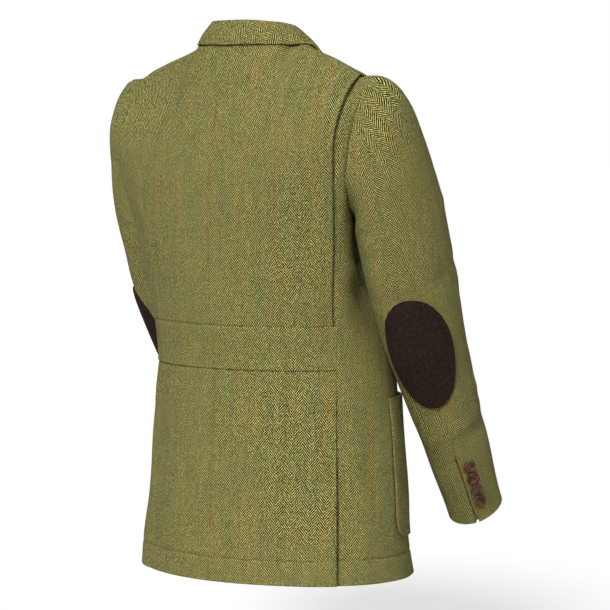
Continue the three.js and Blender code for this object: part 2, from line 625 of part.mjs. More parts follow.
/** Egg-shaped elbow patch over the hind seam. */
function buildElbowPatch(right) {
  const spot = (a, b) => {
    const x = a * Math.sqrt(1 - (b * b) / 2);
    const y = b * Math.sqrt(1 - (a * a) / 2);
    const k = PATCH.centre + (y * PATCH.along) / SLEEVE_LENGTH;
    const girth = (sleeveAt.halfX(k) + sleeveAt.halfN(k)) / 2;
    const half = PATCH.across * (1 - PATCH.narrowing * y);
    return [HIND_SEAM + PATCH.turn + ((x * half) / girth) / RAD, k];
  };
  const us = steps(-1, 1, 10);
  return wall({
    point: (a, b) => tube(...spot(a, b)), face: (a, b) => faceAt(tube, ...spot(a, b), -1),
    us, vs: us, turn: -1, low: () => CLOTH + 0.6, high: () => CLOTH + 2.6, right,
  });
}

/** Patch pocket, its lower corners rounded, moved out from the body. */
function buildPocket(right) {
  const rise = LAYER + STIFF_LIFT;
  const point = (a, v) => {
    const z = lerp(POCKET.bottom, POCKET.top, v);
    const up = Math.min(POCKET.corner, z - POCKET.bottom);
    const cut = POCKET.corner - Math.sqrt(POCKET.corner ** 2 - (POCKET.corner - up) ** 2);
    const middle = (POCKET.back + POCKET.front) / 2;
    const half = (POCKET.front - POCKET.back) / 2 - cut / 3.1;
    return body(middle + a * half, z);
  };
  const belly = (a, v) => rise + 2.5 * (1 - a * a) * ease(0, 0.25, v);
  const corner = POCKET.corner / (POCKET.top - POCKET.bottom);
  const vs = [0.004, corner * 0.12, corner * 0.4, corner, ...steps(corner, 1, 5).slice(1)];
  return wall({
    point, us: steps(-1, 1, 10), vs, right,
    low: belly, high: (a, v) => belly(a, v) + POCKET.thick,
  });
}

/** A dished button with a raised rim, on a spot of cloth and facing along face. */
function buildButton(spot, face, { radius, thick }) {
  const profile = [
    [0, 0], [radius * 0.8, 0], [radius, thick * 0.4], [radius * 0.95, thick * 0.85],
    [radius * 0.78, thick], [radius * 0.55, thick * 0.72], [0, thick * 0.66],
  ].map(([x, y]) => new THREE.Vector2(x, y));
  const geometry = new THREE.LatheGeometry(profile, 14);
  geometry.applyQuaternion(new THREE.Quaternion().setFromUnitVectors(vec(0, 1, 0), face));
  geometry.translate(spot.x, spot.y, spot.z);
  return geometry;
}

buildBack();
const beltU = steps(-1, 1, 18);
add('back_belt', wall({ point: lowerBack, us: beltU, vs: WAIST_ROWS }));
const overVent = (u, z) => (LAYER + STIFF_LIFT) * ease(0.66, 0.76, Math.abs(u)) * ease(VENT_TOP + 52, VENT_TOP + 2, z);
const skirtU = [...steps(-1, -0.76, 3), ...steps(-0.66, 0.66, 12), ...steps(0.76, 1, 3)];
add('back_skirt', wall({
  point: lowerBack, us: skirtU, vs: LOW_ROWS, low: overVent, high: (u, z) => overVent(u, z) + CLOTH,
}));

[['left', false], ['right', true]].forEach(([sideName, right]) => {
  const place = right ? mirror : (p) => p;
  add(`back_strip_${sideName}`, buildStrip(right));
  add(`side_panel_${sideName}`, buildSide(right));
  add(`front_${sideName}`, buildFront(right));
  add(`lapel_${sideName}`, buildLapel(right));
  add(`sleeve_top_${sideName}`, buildSleeve(HIND_SEAM, FORE_SEAM, 0, right));
  add(`sleeve_under_${sideName}`, buildSleeve(FORE_SEAM, HIND_SEAM + 360, CUFF_UNDERLAP, right));
  add(`elbow_patch_${sideName}`, buildElbowPatch(right), felt);
  add(`pocket_${sideName}`, buildPocket(right));
  for (let i = 0; i < 4; i += 1) {
    const k = 1 - (CUFF_BUTTON.first + i * CUFF_BUTTON.pitch) / SLEEVE_LENGTH;
    const angle = HIND_SEAM + CUFF_BUTTON.from;
    const face = faceAt(tube, angle, k, -1);
    const spot = tube(angle, k).addScaledVector(face, CLOTH + SEAM_GAP);
    add(`button_cuff_${sideName}_${i + 1}`, buildButton(place(spot), place(face), CUFF_BUTTON), horn);
  }
});
add('collar', buildCollar());

for (let i = 0; i < 3; i += 1) {
  const z = BUTTON_TOP - i * BUTTON_PITCH;
  const face = faceAt(body, 180, z, 1);
  const spot = body(180, z).addScaledVector(face, LAYER + STIFF_LIFT + LAYER);
  add(`button_front_${i + 1}`, buildButton(spot, face, FRONT_BUTTON), horn);
}

export default jacket;
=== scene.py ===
"""Looks of a worn, filled-out tweed sports jacket with action back, half belt and elbow patches.

Lengths in this file are millimetres until a mesh is made. +Z is up, the front faces -Y and the
wearer's left is +X. Every cloth piece is a closed shell over the form that the solids share.
"""

import logging
import math
from dataclasses import dataclass, field
from enum import Enum
from typing import Callable, Sequence

import bpy
import numpy as np
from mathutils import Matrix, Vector


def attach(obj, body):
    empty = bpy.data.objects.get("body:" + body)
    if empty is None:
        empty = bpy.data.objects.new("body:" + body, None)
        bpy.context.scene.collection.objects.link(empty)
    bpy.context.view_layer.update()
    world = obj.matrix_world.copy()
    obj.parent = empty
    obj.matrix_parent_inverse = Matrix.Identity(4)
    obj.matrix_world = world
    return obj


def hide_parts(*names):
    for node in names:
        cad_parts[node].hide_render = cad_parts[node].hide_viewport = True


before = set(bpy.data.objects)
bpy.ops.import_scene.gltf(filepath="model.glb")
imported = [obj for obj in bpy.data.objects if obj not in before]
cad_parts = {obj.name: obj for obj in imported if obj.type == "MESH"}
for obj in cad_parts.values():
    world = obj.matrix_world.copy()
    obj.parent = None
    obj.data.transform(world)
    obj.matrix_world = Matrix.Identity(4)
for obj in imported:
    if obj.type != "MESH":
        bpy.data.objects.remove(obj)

Array = np.ndarray
Surface = Callable[[Array, Array], Array]

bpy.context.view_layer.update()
MM = 0.001
RAD = math.pi / 180
UV_NAME = "cloth"
BODY_NAME = "root"
LOG = logging.getLogger("jacket")

# Cloth
CLOTH = 2.2
SEAM_GAP = 0.3
LAYER = CLOTH + SEAM_GAP
STIFF_LIFT = 1.0
GRID_STEP = 4.6
EDGE_STEPS = (0.0, 0.25, 0.7, 1.3, 2.2, 3.6)

# Heights
HEM = -751.0
HEM_DROP = 6.0
HEM_DEPTH = 34.0
VENT_TOP = -505.0
BELT_BOTTOM = -453.0
BELT_TOP = -391.0
BUTTON_TOP = -312.0
BUTTON_PITCH = 108.0
BREAK = -295.0
ARM_ROWS_FROM = -300.0
CHEST = -219.0
BLADE = -150.0

# Places round the body, in degrees from centre back
FOLD_ANGLE = 61.0
NECK_ANGLE = 150.0
LAP = 20.0
SEAMS = {"z": (HEM, -466, BELT_TOP, CHEST), "back": (58.5, 63, 65, 65), "front": (112, 113, 114, 114)}
BODY = {
    "z": (-758, -700, -630, -466, -391, -316, -238, -190),
    "half_x": (205, 199, 193, 182, 187, 191, 190, 188),
    "back_y": (108, 104, 99, 93, 98, 102, 101, 99),
    "front_y": (-240, -222, -213, -202, -196, -188, -174, -158),
    "mid_y": (-56, -56, -56, -54, -52, -49, -46, -42),
    "flare": (0, 0, 0, 0, 0, 7, 24, 34),
    "squeeze": (0, 0, 0, 0, 18, 31, 33, 29),
}
SQUEEZE_AT, SQUEEZE_BACK, SQUEEZE_FRONT = 92.0, 19.0, 42.0
FLARE_FROM, FLARE_TO, FLARE_X, FLARE_Y = 66.0, 86.0, 0.75, 0.66
BACK = {
    "z": (BELT_TOP, -353, -314, -257, -195, BLADE),
    "fold_x": (163.5, 168, 175, 184, 194.5, 200.5),
    "fold_y": (20.5, 28, 36, 46, 61, 69.5),
    "centre_y": (98, 100, 102, 103, 101, 95),
}
#: Near the pleats the back stays upright longer: extra reach at the blades and shoulder
PLEAT_BEND = {"from": 0.45, "foot": 28, "head": -10}
TIP = (206.0, 0.0, -44.5)
FOLD_TOP_X = 196.0
NECK_X, NECK_Y, NECK_Z = 78.0, -5.0, 7.0
NECK_BACK_Y, NECK_BACK_Z, NECK_FRONT_Y, NECK_FRONT_Z = 50.0, 4.0, -75.0, -53.0
NECK_SHARE = 0.43
TURN_UNDER = 0.93
RIDGE = {"x": (60, 78, 108, 150, 177, 206), "z": (14, 7, -8, -23, -34, -44.5)}

# Armhole of the left side. 90 is the shoulder tip, 0 the back, 270 the foot.
BACK_FOOT = 330.0
FRONT_FOOT = 225.0
ARMHOLE = {
    "angle": (0, 30, 60, 90, 120, 150, 180, 210, 225, 240, 270, 300, 330),
    "x": (203, 207, 208, 206, 191, 170, 158, 155, 157, 158, 166, 184, 198),
    "y": (41, 36, 20, 0, -44, -86, -102, -100, -85, -66, -25, 10, 37),
    "z": (-160, -121, -80, -44.5, -73, -115, -158, -200, -219, -233, -241, -228, -192),
}
ARM_CENTRE = (182.0, -24.0, -150.0)

# Sleeve: centre, outer half sizes across X and across the arm's tilt
SLEEVE = {
    "x": (222, 222, 221, 219, 217, 214, 209, 208),
    "y": (-62, -84, -107, -134, -165, -207, -249, -257),
    "z": (-262, -330, -390, -446, -504, -580, -655, -668),
    "half_x": (52, 52, 50, 48, 44.5, 42, 38.5, 38),
    "half_n": (80, 78, 72, 65, 57, 50, 43.5, 43),
}
HIND_SEAM = 30.0
FORE_SEAM = 240.0
SLEEVE_TWIST = 12.0
CUFF_VENT = 122.0
CUFF_UNDERLAP = 16.0
SINK = 0.6

# Trim
PATCH_ALONG, PATCH_ACROSS, PATCH_CENTRE, PATCH_TURN, PATCH_NARROWING = 84.0, 50.0, 0.352, 3.0, 0.12
POCKET_BACK, POCKET_FRONT, POCKET_TOP, POCKET_BOTTOM, POCKET_CORNER = 98.0, 151.0, -497.0, -694.0, 28.0
CUTAWAY_FROM, CUTAWAY_SWEEP = -560.0, 78.0

# Collar stations from centre back to the notch
COLLAR = {
    "neck": ((0, 50, 5.3), (41, 41, 5.8), (68, 21, 7.3), (75.3, 8.3, 8.6),
             (78, -6, 9), (78.5, -28.5, -3.8), (75.5, -47, -20), (72, -62, -34)),
    "fold": ((0, 45, 30), (36, 37, 30), (60, 15, 28), (65.8, 0.7, 25.6),
             (68.5, -15, 21.5), (70, -36, 9), (70, -55, -9), (68, -69, -27)),
    "edge": ((0, 61, -1), (54, 48.8, 0.2), (87.5, 15.5, -0.4), (97, -1, 0.8),
             (102, -18, -5.5), (106, -36, -24), (109, -51, -44), (110, -66, -64)),
}


class Edge(Enum):
    """How one edge of a piece ends."""

    SEAM = "sewn to its neighbour"
    UNDER = "sewn below its neighbour's edge"
    OVER = "sewn on top, its fold standing proud"
    FREE = "turned under and loose"


EDGE_RISE = {  # height and width of the bell curve along each kind of edge
    Edge.SEAM: (-0.55, 1.4), Edge.UNDER: (-1.5, 3.0), Edge.OVER: (0.55, 6.0), Edge.FREE: (0.0, 1.0)}


class Slot(Enum):
    """Material slots of the record."""

    TWEED = "tweed"
    FELT = "elbow_felt"
    HORN = "horn"


# Numbers and curves


def lerp(a: Array, b: Array, k: Array) -> Array:
    """The point a share k of the way from a to b."""
    return a + (b - a) * k


def ease(start: float, stop: float, x: Array) -> Array:
    """Smooth step from 0 at start to 1 at stop: 3k squared minus 2k cubed."""
    k = np.clip((np.asarray(x, float) - start) / (stop - start), 0, 1)
    return k * k * (3 - 2 * k)


def xyz(x: Array, y: Array, z: Array) -> Array:
    """Stacks three coordinate arrays along a last axis."""
    return np.stack(np.broadcast_arrays(x, y, z), -1).astype(float)


def unit(v: Array) -> Array:
    """Vectors of length one along v."""
    return v / np.maximum(np.linalg.norm(v, axis=-1, keepdims=True), 1e-12)


def sine(degrees: Array) -> Array:
    """Sine of an angle in degrees."""
    return np.sin(np.asarray(degrees, float) * RAD)


def cosine(degrees: Array) -> Array:
    """Cosine of an angle in degrees."""
    return np.cos(np.asarray(degrees, float) * RAD)


def cubic(a: Array, b: Array, c: Array, d: Array, k: Array) -> Array:
    """Bezier curve from a to d with handles b and c, at shares k."""
    k = np.asarray(k, float)[..., None]
    j = 1 - k
    return a * j**3 + b * (3 * j * j * k) + c * (3 * j * k * k) + d * k**3


class Curve:
    """A smooth function through the points of a table column.

    Between two points it is a Hermite cubic. The slope at a point is that of the chord between
    its neighbours. A closed one repeats after period.
    """

    def __init__(self, at: Sequence[float], value: Sequence[float], period: float = 0.0) -> None:
        """Keeps the points and their slopes.

        Args:
            at: Rising places of the points.
            value: Value at each place.
            period: Length after which the values repeat, or 0.
        """
        x, y = np.asarray(at, float), np.asarray(value, float)
        if period:
            x = np.concatenate(([x[-1] - period], x, x[:2] + period))
            y = np.concatenate((y[-1:], y, y[:2]))
        count = np.arange(len(x))
        before, after = np.maximum(count - 1, 0), np.minimum(count + 1, len(x) - 1)
        self.x, self.y, self.period = x, y, period
        self.slope = (y[after] - y[before]) / (x[after] - x[before])

    def __call__(self, place: Array) -> Array:
        """Value of the curve.

        Args:
            place: Where to read it, of any shape.

        Returns:
            Values of the same shape.
        """
        place = np.asarray(place, float)
        at = np.mod(place, self.period) if self.period else place
        i = np.searchsorted(self.x[1:-1], at, side="left")
        span = self.x[i + 1] - self.x[i]
        k = np.clip((at - self.x[i]) / span, 0, 1)
        rise = self.y[i + 1] - self.y[i]
        bend = self.slope[i] * span - rise
        unbend = rise - self.slope[i + 1] * span
        return self.y[i] + k * rise + k * (1 - k) * (bend * (1 - k) + unbend * k)


def curves(table: dict[str, Sequence[float]], key: str, period: float = 0.0) -> dict[str, Curve]:
    """One smooth curve for each column of a table, over its key column."""
    return {name: Curve(table[key], column, period) for name, column in table.items() if name != key}


def spaced(start: float, stop: float, length: float, step: float = GRID_STEP) -> Array:
    """Parameters from start to stop along length, close together near both ends.

    Args:
        start: First parameter.
        stop: Last parameter.
        length: Real length between them.
        step: Distance wanted between two parameters away from the ends.

    Returns:
        Rising or falling parameters, both ends included.
    """
    near = np.array([e for e in EDGE_STEPS if e < length / 3])
    middle = np.arange(1, max(2, round((length - 2 * near[-1]) / step))) * 1.0
    middle = near[-1] + middle / (middle[-1] + 1) * (length - 2 * near[-1])
    return lerp(start, stop, np.concatenate((near, middle, length - near[::-1])) / length)


# The form


class Form:
    """The surfaces that the solids are cut from, as functions of whole arrays."""

    def __init__(self) -> None:
        """Makes a smooth curve from each table column."""
        self.body_at = curves(BODY, "z")
        self.seam_at = curves(SEAMS, "z")
        self.hole_at = curves(ARMHOLE, "angle", 360)
        self.back_at = curves(BACK, "z")
        self.ridge_at = Curve(RIDGE["x"], RIDGE["z"])
        knots = xyz(*(np.array(SLEEVE[axis], float) for axis in "xyz"))
        along = np.concatenate(([0], np.cumsum(np.linalg.norm(np.diff(knots, axis=0), axis=1))))
        self.sleeve_length = float(along[-1])
        self.sleeve_at = curves({"step": along / along[-1], **SLEEVE}, "step")
        stations = range(len(COLLAR["neck"]))
        self.collar_at = {name: [Curve(stations, column) for column in zip(*points)]
                          for name, points in COLLAR.items()}

    def body(self, angle: Array, z: Array) -> Array:
        """The body below the armholes.

        A half ellipse behind and a deeper one in front, pressed in under the arm by a bell curve
        of the angle and flared out behind it.

        Args:
            angle: Degrees from centre back, positive on the left.
            z: Level.

        Returns:
            Points, one for each pair.
        """
        angle, z = np.broadcast_arrays(np.asarray(angle, float), np.asarray(z, float))
        at = {name: line(z) for name, line in self.body_at.items()}
        turn = np.abs(angle)
        forward = cosine(turn)
        depth = np.where(forward > 0, at["back_y"] - at["mid_y"], at["mid_y"] - at["front_y"])
        width = np.where(turn < SQUEEZE_AT, SQUEEZE_BACK, SQUEEZE_FRONT)
        pressed = at["squeeze"] * np.exp(-(((turn - SQUEEZE_AT) / width) ** 2))
        flared = at["flare"] * (1 - ease(FLARE_FROM, FLARE_TO, turn))
        x = at["half_x"] * sine(turn) - pressed + flared * FLARE_X
        y = at["mid_y"] + depth * forward + flared * FLARE_Y
        drop = HEM_DROP * (1 - forward) * 0.5 * ease(-600, HEM, z)
        return xyz(np.sign(angle) * x, y, z - drop)

    def armhole(self, angle: Array) -> Array:
        """The armhole seam, a closed curve through its table."""
        return xyz(*(self.hole_at[axis](angle) for axis in "xyz"))

    def armhole_face(self, angle: Array) -> Array:
        """The way the walls stand at the armhole seam: out from its centre, turned to the side."""
        out = unit((self.armhole(angle) - np.array(ARM_CENTRE)) * np.array((0, 1, 1)))
        behind, above = np.maximum(0, cosine(angle)), np.maximum(0, sine(angle))
        return unit(out + xyz(0.7 * behind + 0.2 * above, 0, 0))

    def back_level(self, u: Array, z: Array) -> Array:
        """The upper back at a level: an arc of an ellipse through centre back and the fold."""
        turn = np.abs(u) * FOLD_ANGLE
        x = self.back_at["fold_x"](z) * sine(turn) / sine(FOLD_ANGLE)
        share = (1 - cosine(turn)) / (1 - cosine(FOLD_ANGLE))
        y = lerp(self.back_at["centre_y"](z), self.back_at["fold_y"](z), share)
        return xyz(np.sign(u) * x, y, z)

    def back_seam(self, u: Array) -> Array:
        """Top edge of the upper back: a quarter ellipse of the neck, then the shoulder seam."""
        share = np.abs(u)
        turn = np.minimum(share / NECK_SHARE, 1) * 90
        neck = xyz(NECK_X * sine(turn), lerp(NECK_Y, NECK_BACK_Y, cosine(turn)),
                   lerp(NECK_BACK_Z, NECK_Z, sine(turn) ** 2))
        k = np.maximum(share - NECK_SHARE, 0) / (1 - NECK_SHARE)
        x = lerp(NECK_X, FOLD_TOP_X, k)
        shoulder = xyz(x, lerp(NECK_Y, TIP[1], k), self.ridge_at(x))
        point = np.where((share < NECK_SHARE)[..., None], neck, shoulder)
        point[..., 0] *= np.sign(u)
        return point

    def back(self, u: Array, v: Array) -> Array:
        """The upper back: ellipse arcs up to the blades, then a Bezier curve over to the shoulder.

        Args:
            u: From -1 at the right fold to 1 at the left one.
            v: From 0 at the belt over 1 at the blades to 2 at the shoulder seam.

        Returns:
            Points, one for each pair.
        """
        u, v = np.broadcast_arrays(np.asarray(u, float), np.asarray(v, float))
        low = self.back_level(u, lerp(BELT_TOP, BLADE, np.minimum(v, 1)))
        foot = self.back_level(u, np.full(u.shape, BLADE))
        rise = unit(foot - self.back_level(u, np.full(u.shape, BLADE - 8)))
        head = self.back_seam(u)
        over = ease(0, NECK_SHARE, np.abs(u))
        lean = unit(xyz(0, -lerp(0.55, 1, over), lerp(0.83, 0.1, over)))
        outer = ease(PLEAT_BEND["from"], 1, np.abs(u))
        low_reach = lerp(50, 32, over) + PLEAT_BEND["foot"] * outer
        high_reach = lerp(45, 24, over) + PLEAT_BEND["head"] * outer
        high = cubic(foot, foot + rise * low_reach[..., None],
                     head - lean * high_reach[..., None], head, np.clip(v - 1, 0, 1))
        return np.where((v <= 1)[..., None], low, high)

    def back_share(self, z: Array) -> Array:
        """The v of the upper back at a height."""
        low = (z - BELT_TOP) / (BLADE - BELT_TOP)
        return np.where(z <= BLADE, low, 1 + (z - BLADE) / (TIP[2] - BLADE))

    def side(self, w: Array, row: Array) -> Array:
        """Side of the body. w goes from the back seam to the front one, row is under or over 0.

        Up to row 0 it is the body at that level. From 0 to 1 it bends over to the armhole: the
        body, moved by a growing share of what the armhole seam lies off it.
        """
        w, row = np.broadcast_arrays(np.asarray(w, float), np.asarray(row, float))
        at = np.minimum(row, 0) + ARM_ROWS_FROM
        low = self.body(lerp(self.seam_at["back"](at), self.seam_at["front"](at), w), at)
        top = self.armhole(lerp(BACK_FOOT, FRONT_FOOT, w))
        level = top[..., 2]
        z = lerp(ARM_ROWS_FROM, level, np.maximum(row, 0))
        on_body = self.body(lerp(self.seam_at["back"](level), self.seam_at["front"](level), w), level)
        here = self.body(lerp(self.seam_at["back"](z), self.seam_at["front"](z), w), z)
        high = here + (top - on_body) * ease(0, 1, row)[..., None]
        return np.where((row <= 0)[..., None], low, high)

    def seam_face(self, w: float, row: Array) -> Array:
        """The way the walls stand at a side seam, turning to the armhole's near the top."""
        row = np.asarray(row, float)
        plain = face_at(self.side, np.full(row.shape, float(w)), row)
        top = self.armhole_face(lerp(BACK_FOOT, FRONT_FOOT, w))
        return unit(lerp(plain, top, ease(0, 1, row)[..., None]))

    def front_seam(self, angle: Array) -> Array:
        """Top edge of the front: the shoulder seam, then a quarter ellipse down the neck."""
        k = (angle - self.seam_at["front"](CHEST)) / (NECK_ANGLE - self.seam_at["front"](CHEST))
        x = lerp(TIP[0], NECK_X, k)
        shoulder = xyz(x, lerp(TIP[1], NECK_Y, k), self.ridge_at(x))
        turn = (180 - angle) / (180 - NECK_ANGLE) * 90
        neck = xyz(NECK_X * sine(turn), lerp(NECK_Y, NECK_FRONT_Y, cosine(turn)),
                   lerp(NECK_Z, NECK_FRONT_Z, cosine(turn)))
        return np.where((angle <= NECK_ANGLE)[..., None], shoulder, neck)

    def chest(self, angle: Array, v: Array) -> Array:
        """The front over the body.

        Below the chest it is the body, drawn to the armhole near the side seam. Above it is a
        Bezier curve from the chest to the shoulder, and its side edge is drawn to the armhole
        by the square of the nearness.

        Args:
            angle: Degrees from centre back.
            v: Millimetres under the chest when negative, 0 to 1 from chest to shoulder.

        Returns:
            Points, one for each pair.
        """
        angle, v = np.broadcast_arrays(np.asarray(angle, float), np.asarray(v, float))
        edge_angle = float(self.seam_at["front"](CHEST))
        fade = ((1 - np.clip((angle - edge_angle) / (NECK_ANGLE - edge_angle), 0, 1)) ** 2)[..., None]
        z = CHEST + np.minimum(v, 0)
        miss = self.armhole(FRONT_FOOT) - self.body(edge_angle, CHEST)
        low = self.body(angle, z) + miss * fade * ease(ARM_ROWS_FROM, CHEST, z)[..., None]
        up = np.clip(v, 0, 1)
        bare = self.over_chest(angle, up)
        bare_edge = self.over_chest(np.full(angle.shape, edge_angle), up)
        high = bare + (self.armhole(lerp(FRONT_FOOT, 90, up)) - bare_edge) * fade
        return np.where((v <= 0)[..., None], low, high)

    def over_chest(self, angle: Array, up: Array) -> Array:
        """Bezier curve from the chest level to the front's top edge, at shares up."""
        foot = self.body(angle, CHEST)
        climb = unit(foot - self.body(angle, CHEST - 8))
        head = self.front_seam(angle)
        return cubic(foot, foot + climb * 62, head + np.array((0, -34, -5)), head, up)

    def roll_x(self, z: Array) -> Array:
        """Distance of the roll line from centre front at a level."""
        return lerp(-LAP, 72, (z - BREAK) / 285)

    def roll_angle(self, z: Array) -> Array:
        """Angle of the roll line at a level."""
        return 180 - np.arcsin(np.clip(self.roll_x(z) / self.body_at["half_x"](z), -1, 1)) / RAD

    def free_edge(self, v: Array) -> Array:
        """Angle of the front's free edge: cutaway and lap below, the roll line above."""
        z = CHEST + np.minimum(v, 0)
        k = np.clip((CUTAWAY_FROM - z) / (CUTAWAY_FROM - HEM), 0, 0.9995)
        edge_x = LAP - CUTAWAY_SWEEP * (1 - np.sqrt(1 - k**2.6))
        low = np.where(z > BREAK, self.roll_angle(z),
                       180 + np.arcsin(edge_x / self.body_at["half_x"](z)) / RAD)
        high = lerp(self.roll_angle(CHEST), NECK_ANGLE, np.maximum(v, 0) ** 1.5)
        return np.where(v > 0, high, low)

    def front(self, u: Array, v: Array) -> Array:
        """A front, from the side-front seam at u 0 to its free edge at u 1."""
        z = CHEST + np.minimum(v, 0)
        return self.chest(lerp(self.seam_at["front"](z), self.free_edge(v), u), v)

    def sleeve_centre(self, k: Array) -> Array:
        """Middle line of the sleeve."""
        return xyz(*(self.sleeve_at[axis](k) for axis in "xyz"))

    def tube(self, angle: Array, k: Array) -> Array:
        """The sleeve below the armpit: an ellipse square to its middle line, slowly twisting.

        Args:
            angle: Degrees from behind, positive outward.
            k: From 0 under the arm to 1 at the cuff.

        Returns:
            Points, one for each pair.
        """
        angle, k = np.broadcast_arrays(np.asarray(angle, float), np.asarray(k, float))
        down = unit(self.sleeve_centre(k + 0.01) - self.sleeve_centre(k - 0.01))
        behind = unit(np.array((0.0, 1.0, 0.0)) - down * down[..., 1:2])
        outside = np.cross(down, behind)
        turn = angle + SLEEVE_TWIST * k
        deep = ((self.sleeve_at["half_n"](k) - CLOTH) * cosine(turn))[..., None]
        wide = ((self.sleeve_at["half_x"](k) - CLOTH) * sine(turn))[..., None]
        return self.sleeve_centre(k) + behind * deep + outside * wide

    def sleeve(self, angle: Array, s: Array) -> Array:
        """The sleeve: its head is a Bezier curve from the armhole, the rest is the tube.

        Args:
            angle: Degrees from behind, as at the armhole.
            s: From -1 at the armhole over 0 under the arm to 1 at the cuff.

        Returns:
            Points, one for each pair.
        """
        angle, s = np.broadcast_arrays(np.asarray(angle, float), np.asarray(s, float))
        low_part = self.tube(angle, np.maximum(s, 0))
        foot = self.tube(angle, np.zeros(angle.shape))
        head = self.armhole(angle)
        top, low = np.maximum(0, sine(angle)), np.maximum(0, -sine(angle))
        start = unit(xyz(0.8, -0.15 - 0.2 * low, lerp(lerp(-0.5, -0.2, low), 0.12, top)))
        reach = lerp(lerp(42, 12, low), 50, top)[..., None]
        rise = unit(foot - self.tube(angle, np.full(angle.shape, 0.02)))
        lift = lerp(lerp(45, 10, low), 146, top)[..., None]
        head_part = cubic(head, head + start * reach, foot + rise * lift, foot, np.clip(s + 1, 0, 1))
        return np.where((s >= 0)[..., None], low_part, head_part)

    def collar(self, s: Array, k: Array) -> Array:
        """The collar: at each station a centripetal Catmull-Rom curve over stand, fold and fall.

        Args:
            s: Station, 0 at centre back, negative on the right.
            k: From 0 at the neck seam to 1 at the edge of the fall.

        Returns:
            Points, one for each pair.
        """
        s, k = np.broadcast_arrays(np.asarray(s, float), np.asarray(k, float))
        side = np.where(s < 0, -1.0, 1.0)
        neck, fold, edge = (xyz(lines[0](abs(s)) * side, lines[1](abs(s)), lines[2](abs(s)))
                            for lines in (self.collar_at[n] for n in ("neck", "fold", "edge")))
        out = unit((edge - neck) * np.array((1, 1, 0)))
        radius = 3
        path = np.stack([
            neck, lerp(neck, fold, 0.55) - out * 1.5, fold - out * radius,
            fold + np.array((0, 0, radius)), fold + out * radius,
            lerp(fold, edge, 0.5) + out * 4, edge], -2)
        return catmull_rom(path, np.clip(k, 0.001, 0.999))


def catmull_rom(path: Array, k: Array) -> Array:
    """Centripetal Catmull-Rom curve through the points of each path.

    Each span is a Hermite cubic whose end tangents weigh the neighbouring chords by the square
    roots of their lengths. Past the ends the first and last chords repeat.

    Args:
        path: Points of the paths, of shape (..., count, 3).
        k: Share of the way along, of shape (...).

    Returns:
        Points of shape (..., 3).
    """
    full = np.concatenate((2 * path[..., :1, :] - path[..., 1:2, :], path,
                           2 * path[..., -1:, :] - path[..., -2:-1, :]), -2)
    place = k * (path.shape[-2] - 1)
    i = np.minimum(np.floor(place).astype(int), path.shape[-2] - 2)
    t = (place - i)[..., None]
    p0, p1, p2, p3 = (np.take_along_axis(full, (i + n)[..., None, None], -2)[..., 0, :]
                      for n in range(4))
    d0, d1, d2 = (np.maximum(np.sqrt(np.linalg.norm(b - a, axis=-1, keepdims=True)), 1e-4)
                  for a, b in ((p0, p1), (p1, p2), (p2, p3)))
    t1 = ((p1 - p0) / d0 - (p2 - p0) / (d0 + d1) + (p2 - p1) / d1) * d1
    t2 = ((p2 - p1) / d1 - (p3 - p1) / (d1 + d2) + (p3 - p2) / d2) * d1
    return (p1 + t1 * t + (3 * (p2 - p1) - 2 * t1 - t2) * t**2 + (2 * (p1 - p2) + t1 + t2) * t**3)


def face_at(point: Surface, u: Array, v: Array, turn: int = 1) -> Array:
    """The outward direction of a surface: the cross product of its slopes along v and u."""
    h = 1e-3
    across = point(u + h, v) - point(u - h, v)
    along = point(u, v + h) - point(u, v - h)
    return unit(np.cross(along, across)) * turn


FORM = Form()


# Creases


@dataclass(frozen=True)
class Crease:
    """One soft trough or ridge along a line on the form.

    Its height falls off from the line as a bell curve of the distance, and to nothing at both
    ends of the line.
    """

    surface: str
    line: Sequence[tuple[float, float]]
    width: float
    height: float
    right: bool = False

    def points(self) -> Array:
        """The line on the form, as a smooth chain of points."""
        knots = np.asarray(self.line, float)
        places = np.arange(len(knots))
        along = np.linspace(0, len(knots) - 1, 13)
        a, b = Curve(places, knots[:, 0])(along), Curve(places, knots[:, 1])(along)
        chain = getattr(FORM, self.surface)(a, b)
        return chain * np.array((-1, 1, 1)) if self.right else chain

    def lift(self, points: Array) -> Array:
        """How far this crease lifts each point.

        Args:
            points: Places of shape (count, 3).

        Returns:
            Lifts of shape (count,).
        """
        chain = self.points()
        near = np.full(len(points), 1e9)
        share = np.zeros(len(points))
        for i, (a, b) in enumerate(zip(chain[:-1], chain[1:])):
            d = b - a
            t = np.clip(((points - a) @ d) / (d @ d), 0, 1)
            distance = np.linalg.norm(points - (a + t[:, None] * d), axis=1)
            closer = distance < near
            near = np.where(closer, distance, near)
            share = np.where(closer, (i + t) / (len(chain) - 1), share)
        taper = np.sin(math.pi * np.clip(share, 0.02, 0.98)) ** 0.7
        return self.height * taper * np.exp(-((near / self.width) ** 2))


def both(surface: str, line: Sequence[tuple[float, float]], width: float, height: float,
         right_height: float) -> list[Crease]:
    """The same crease on both sides, with a height of its own on each."""
    return [Crease(surface, line, width, height), Crease(surface, line, width, right_height, True)]


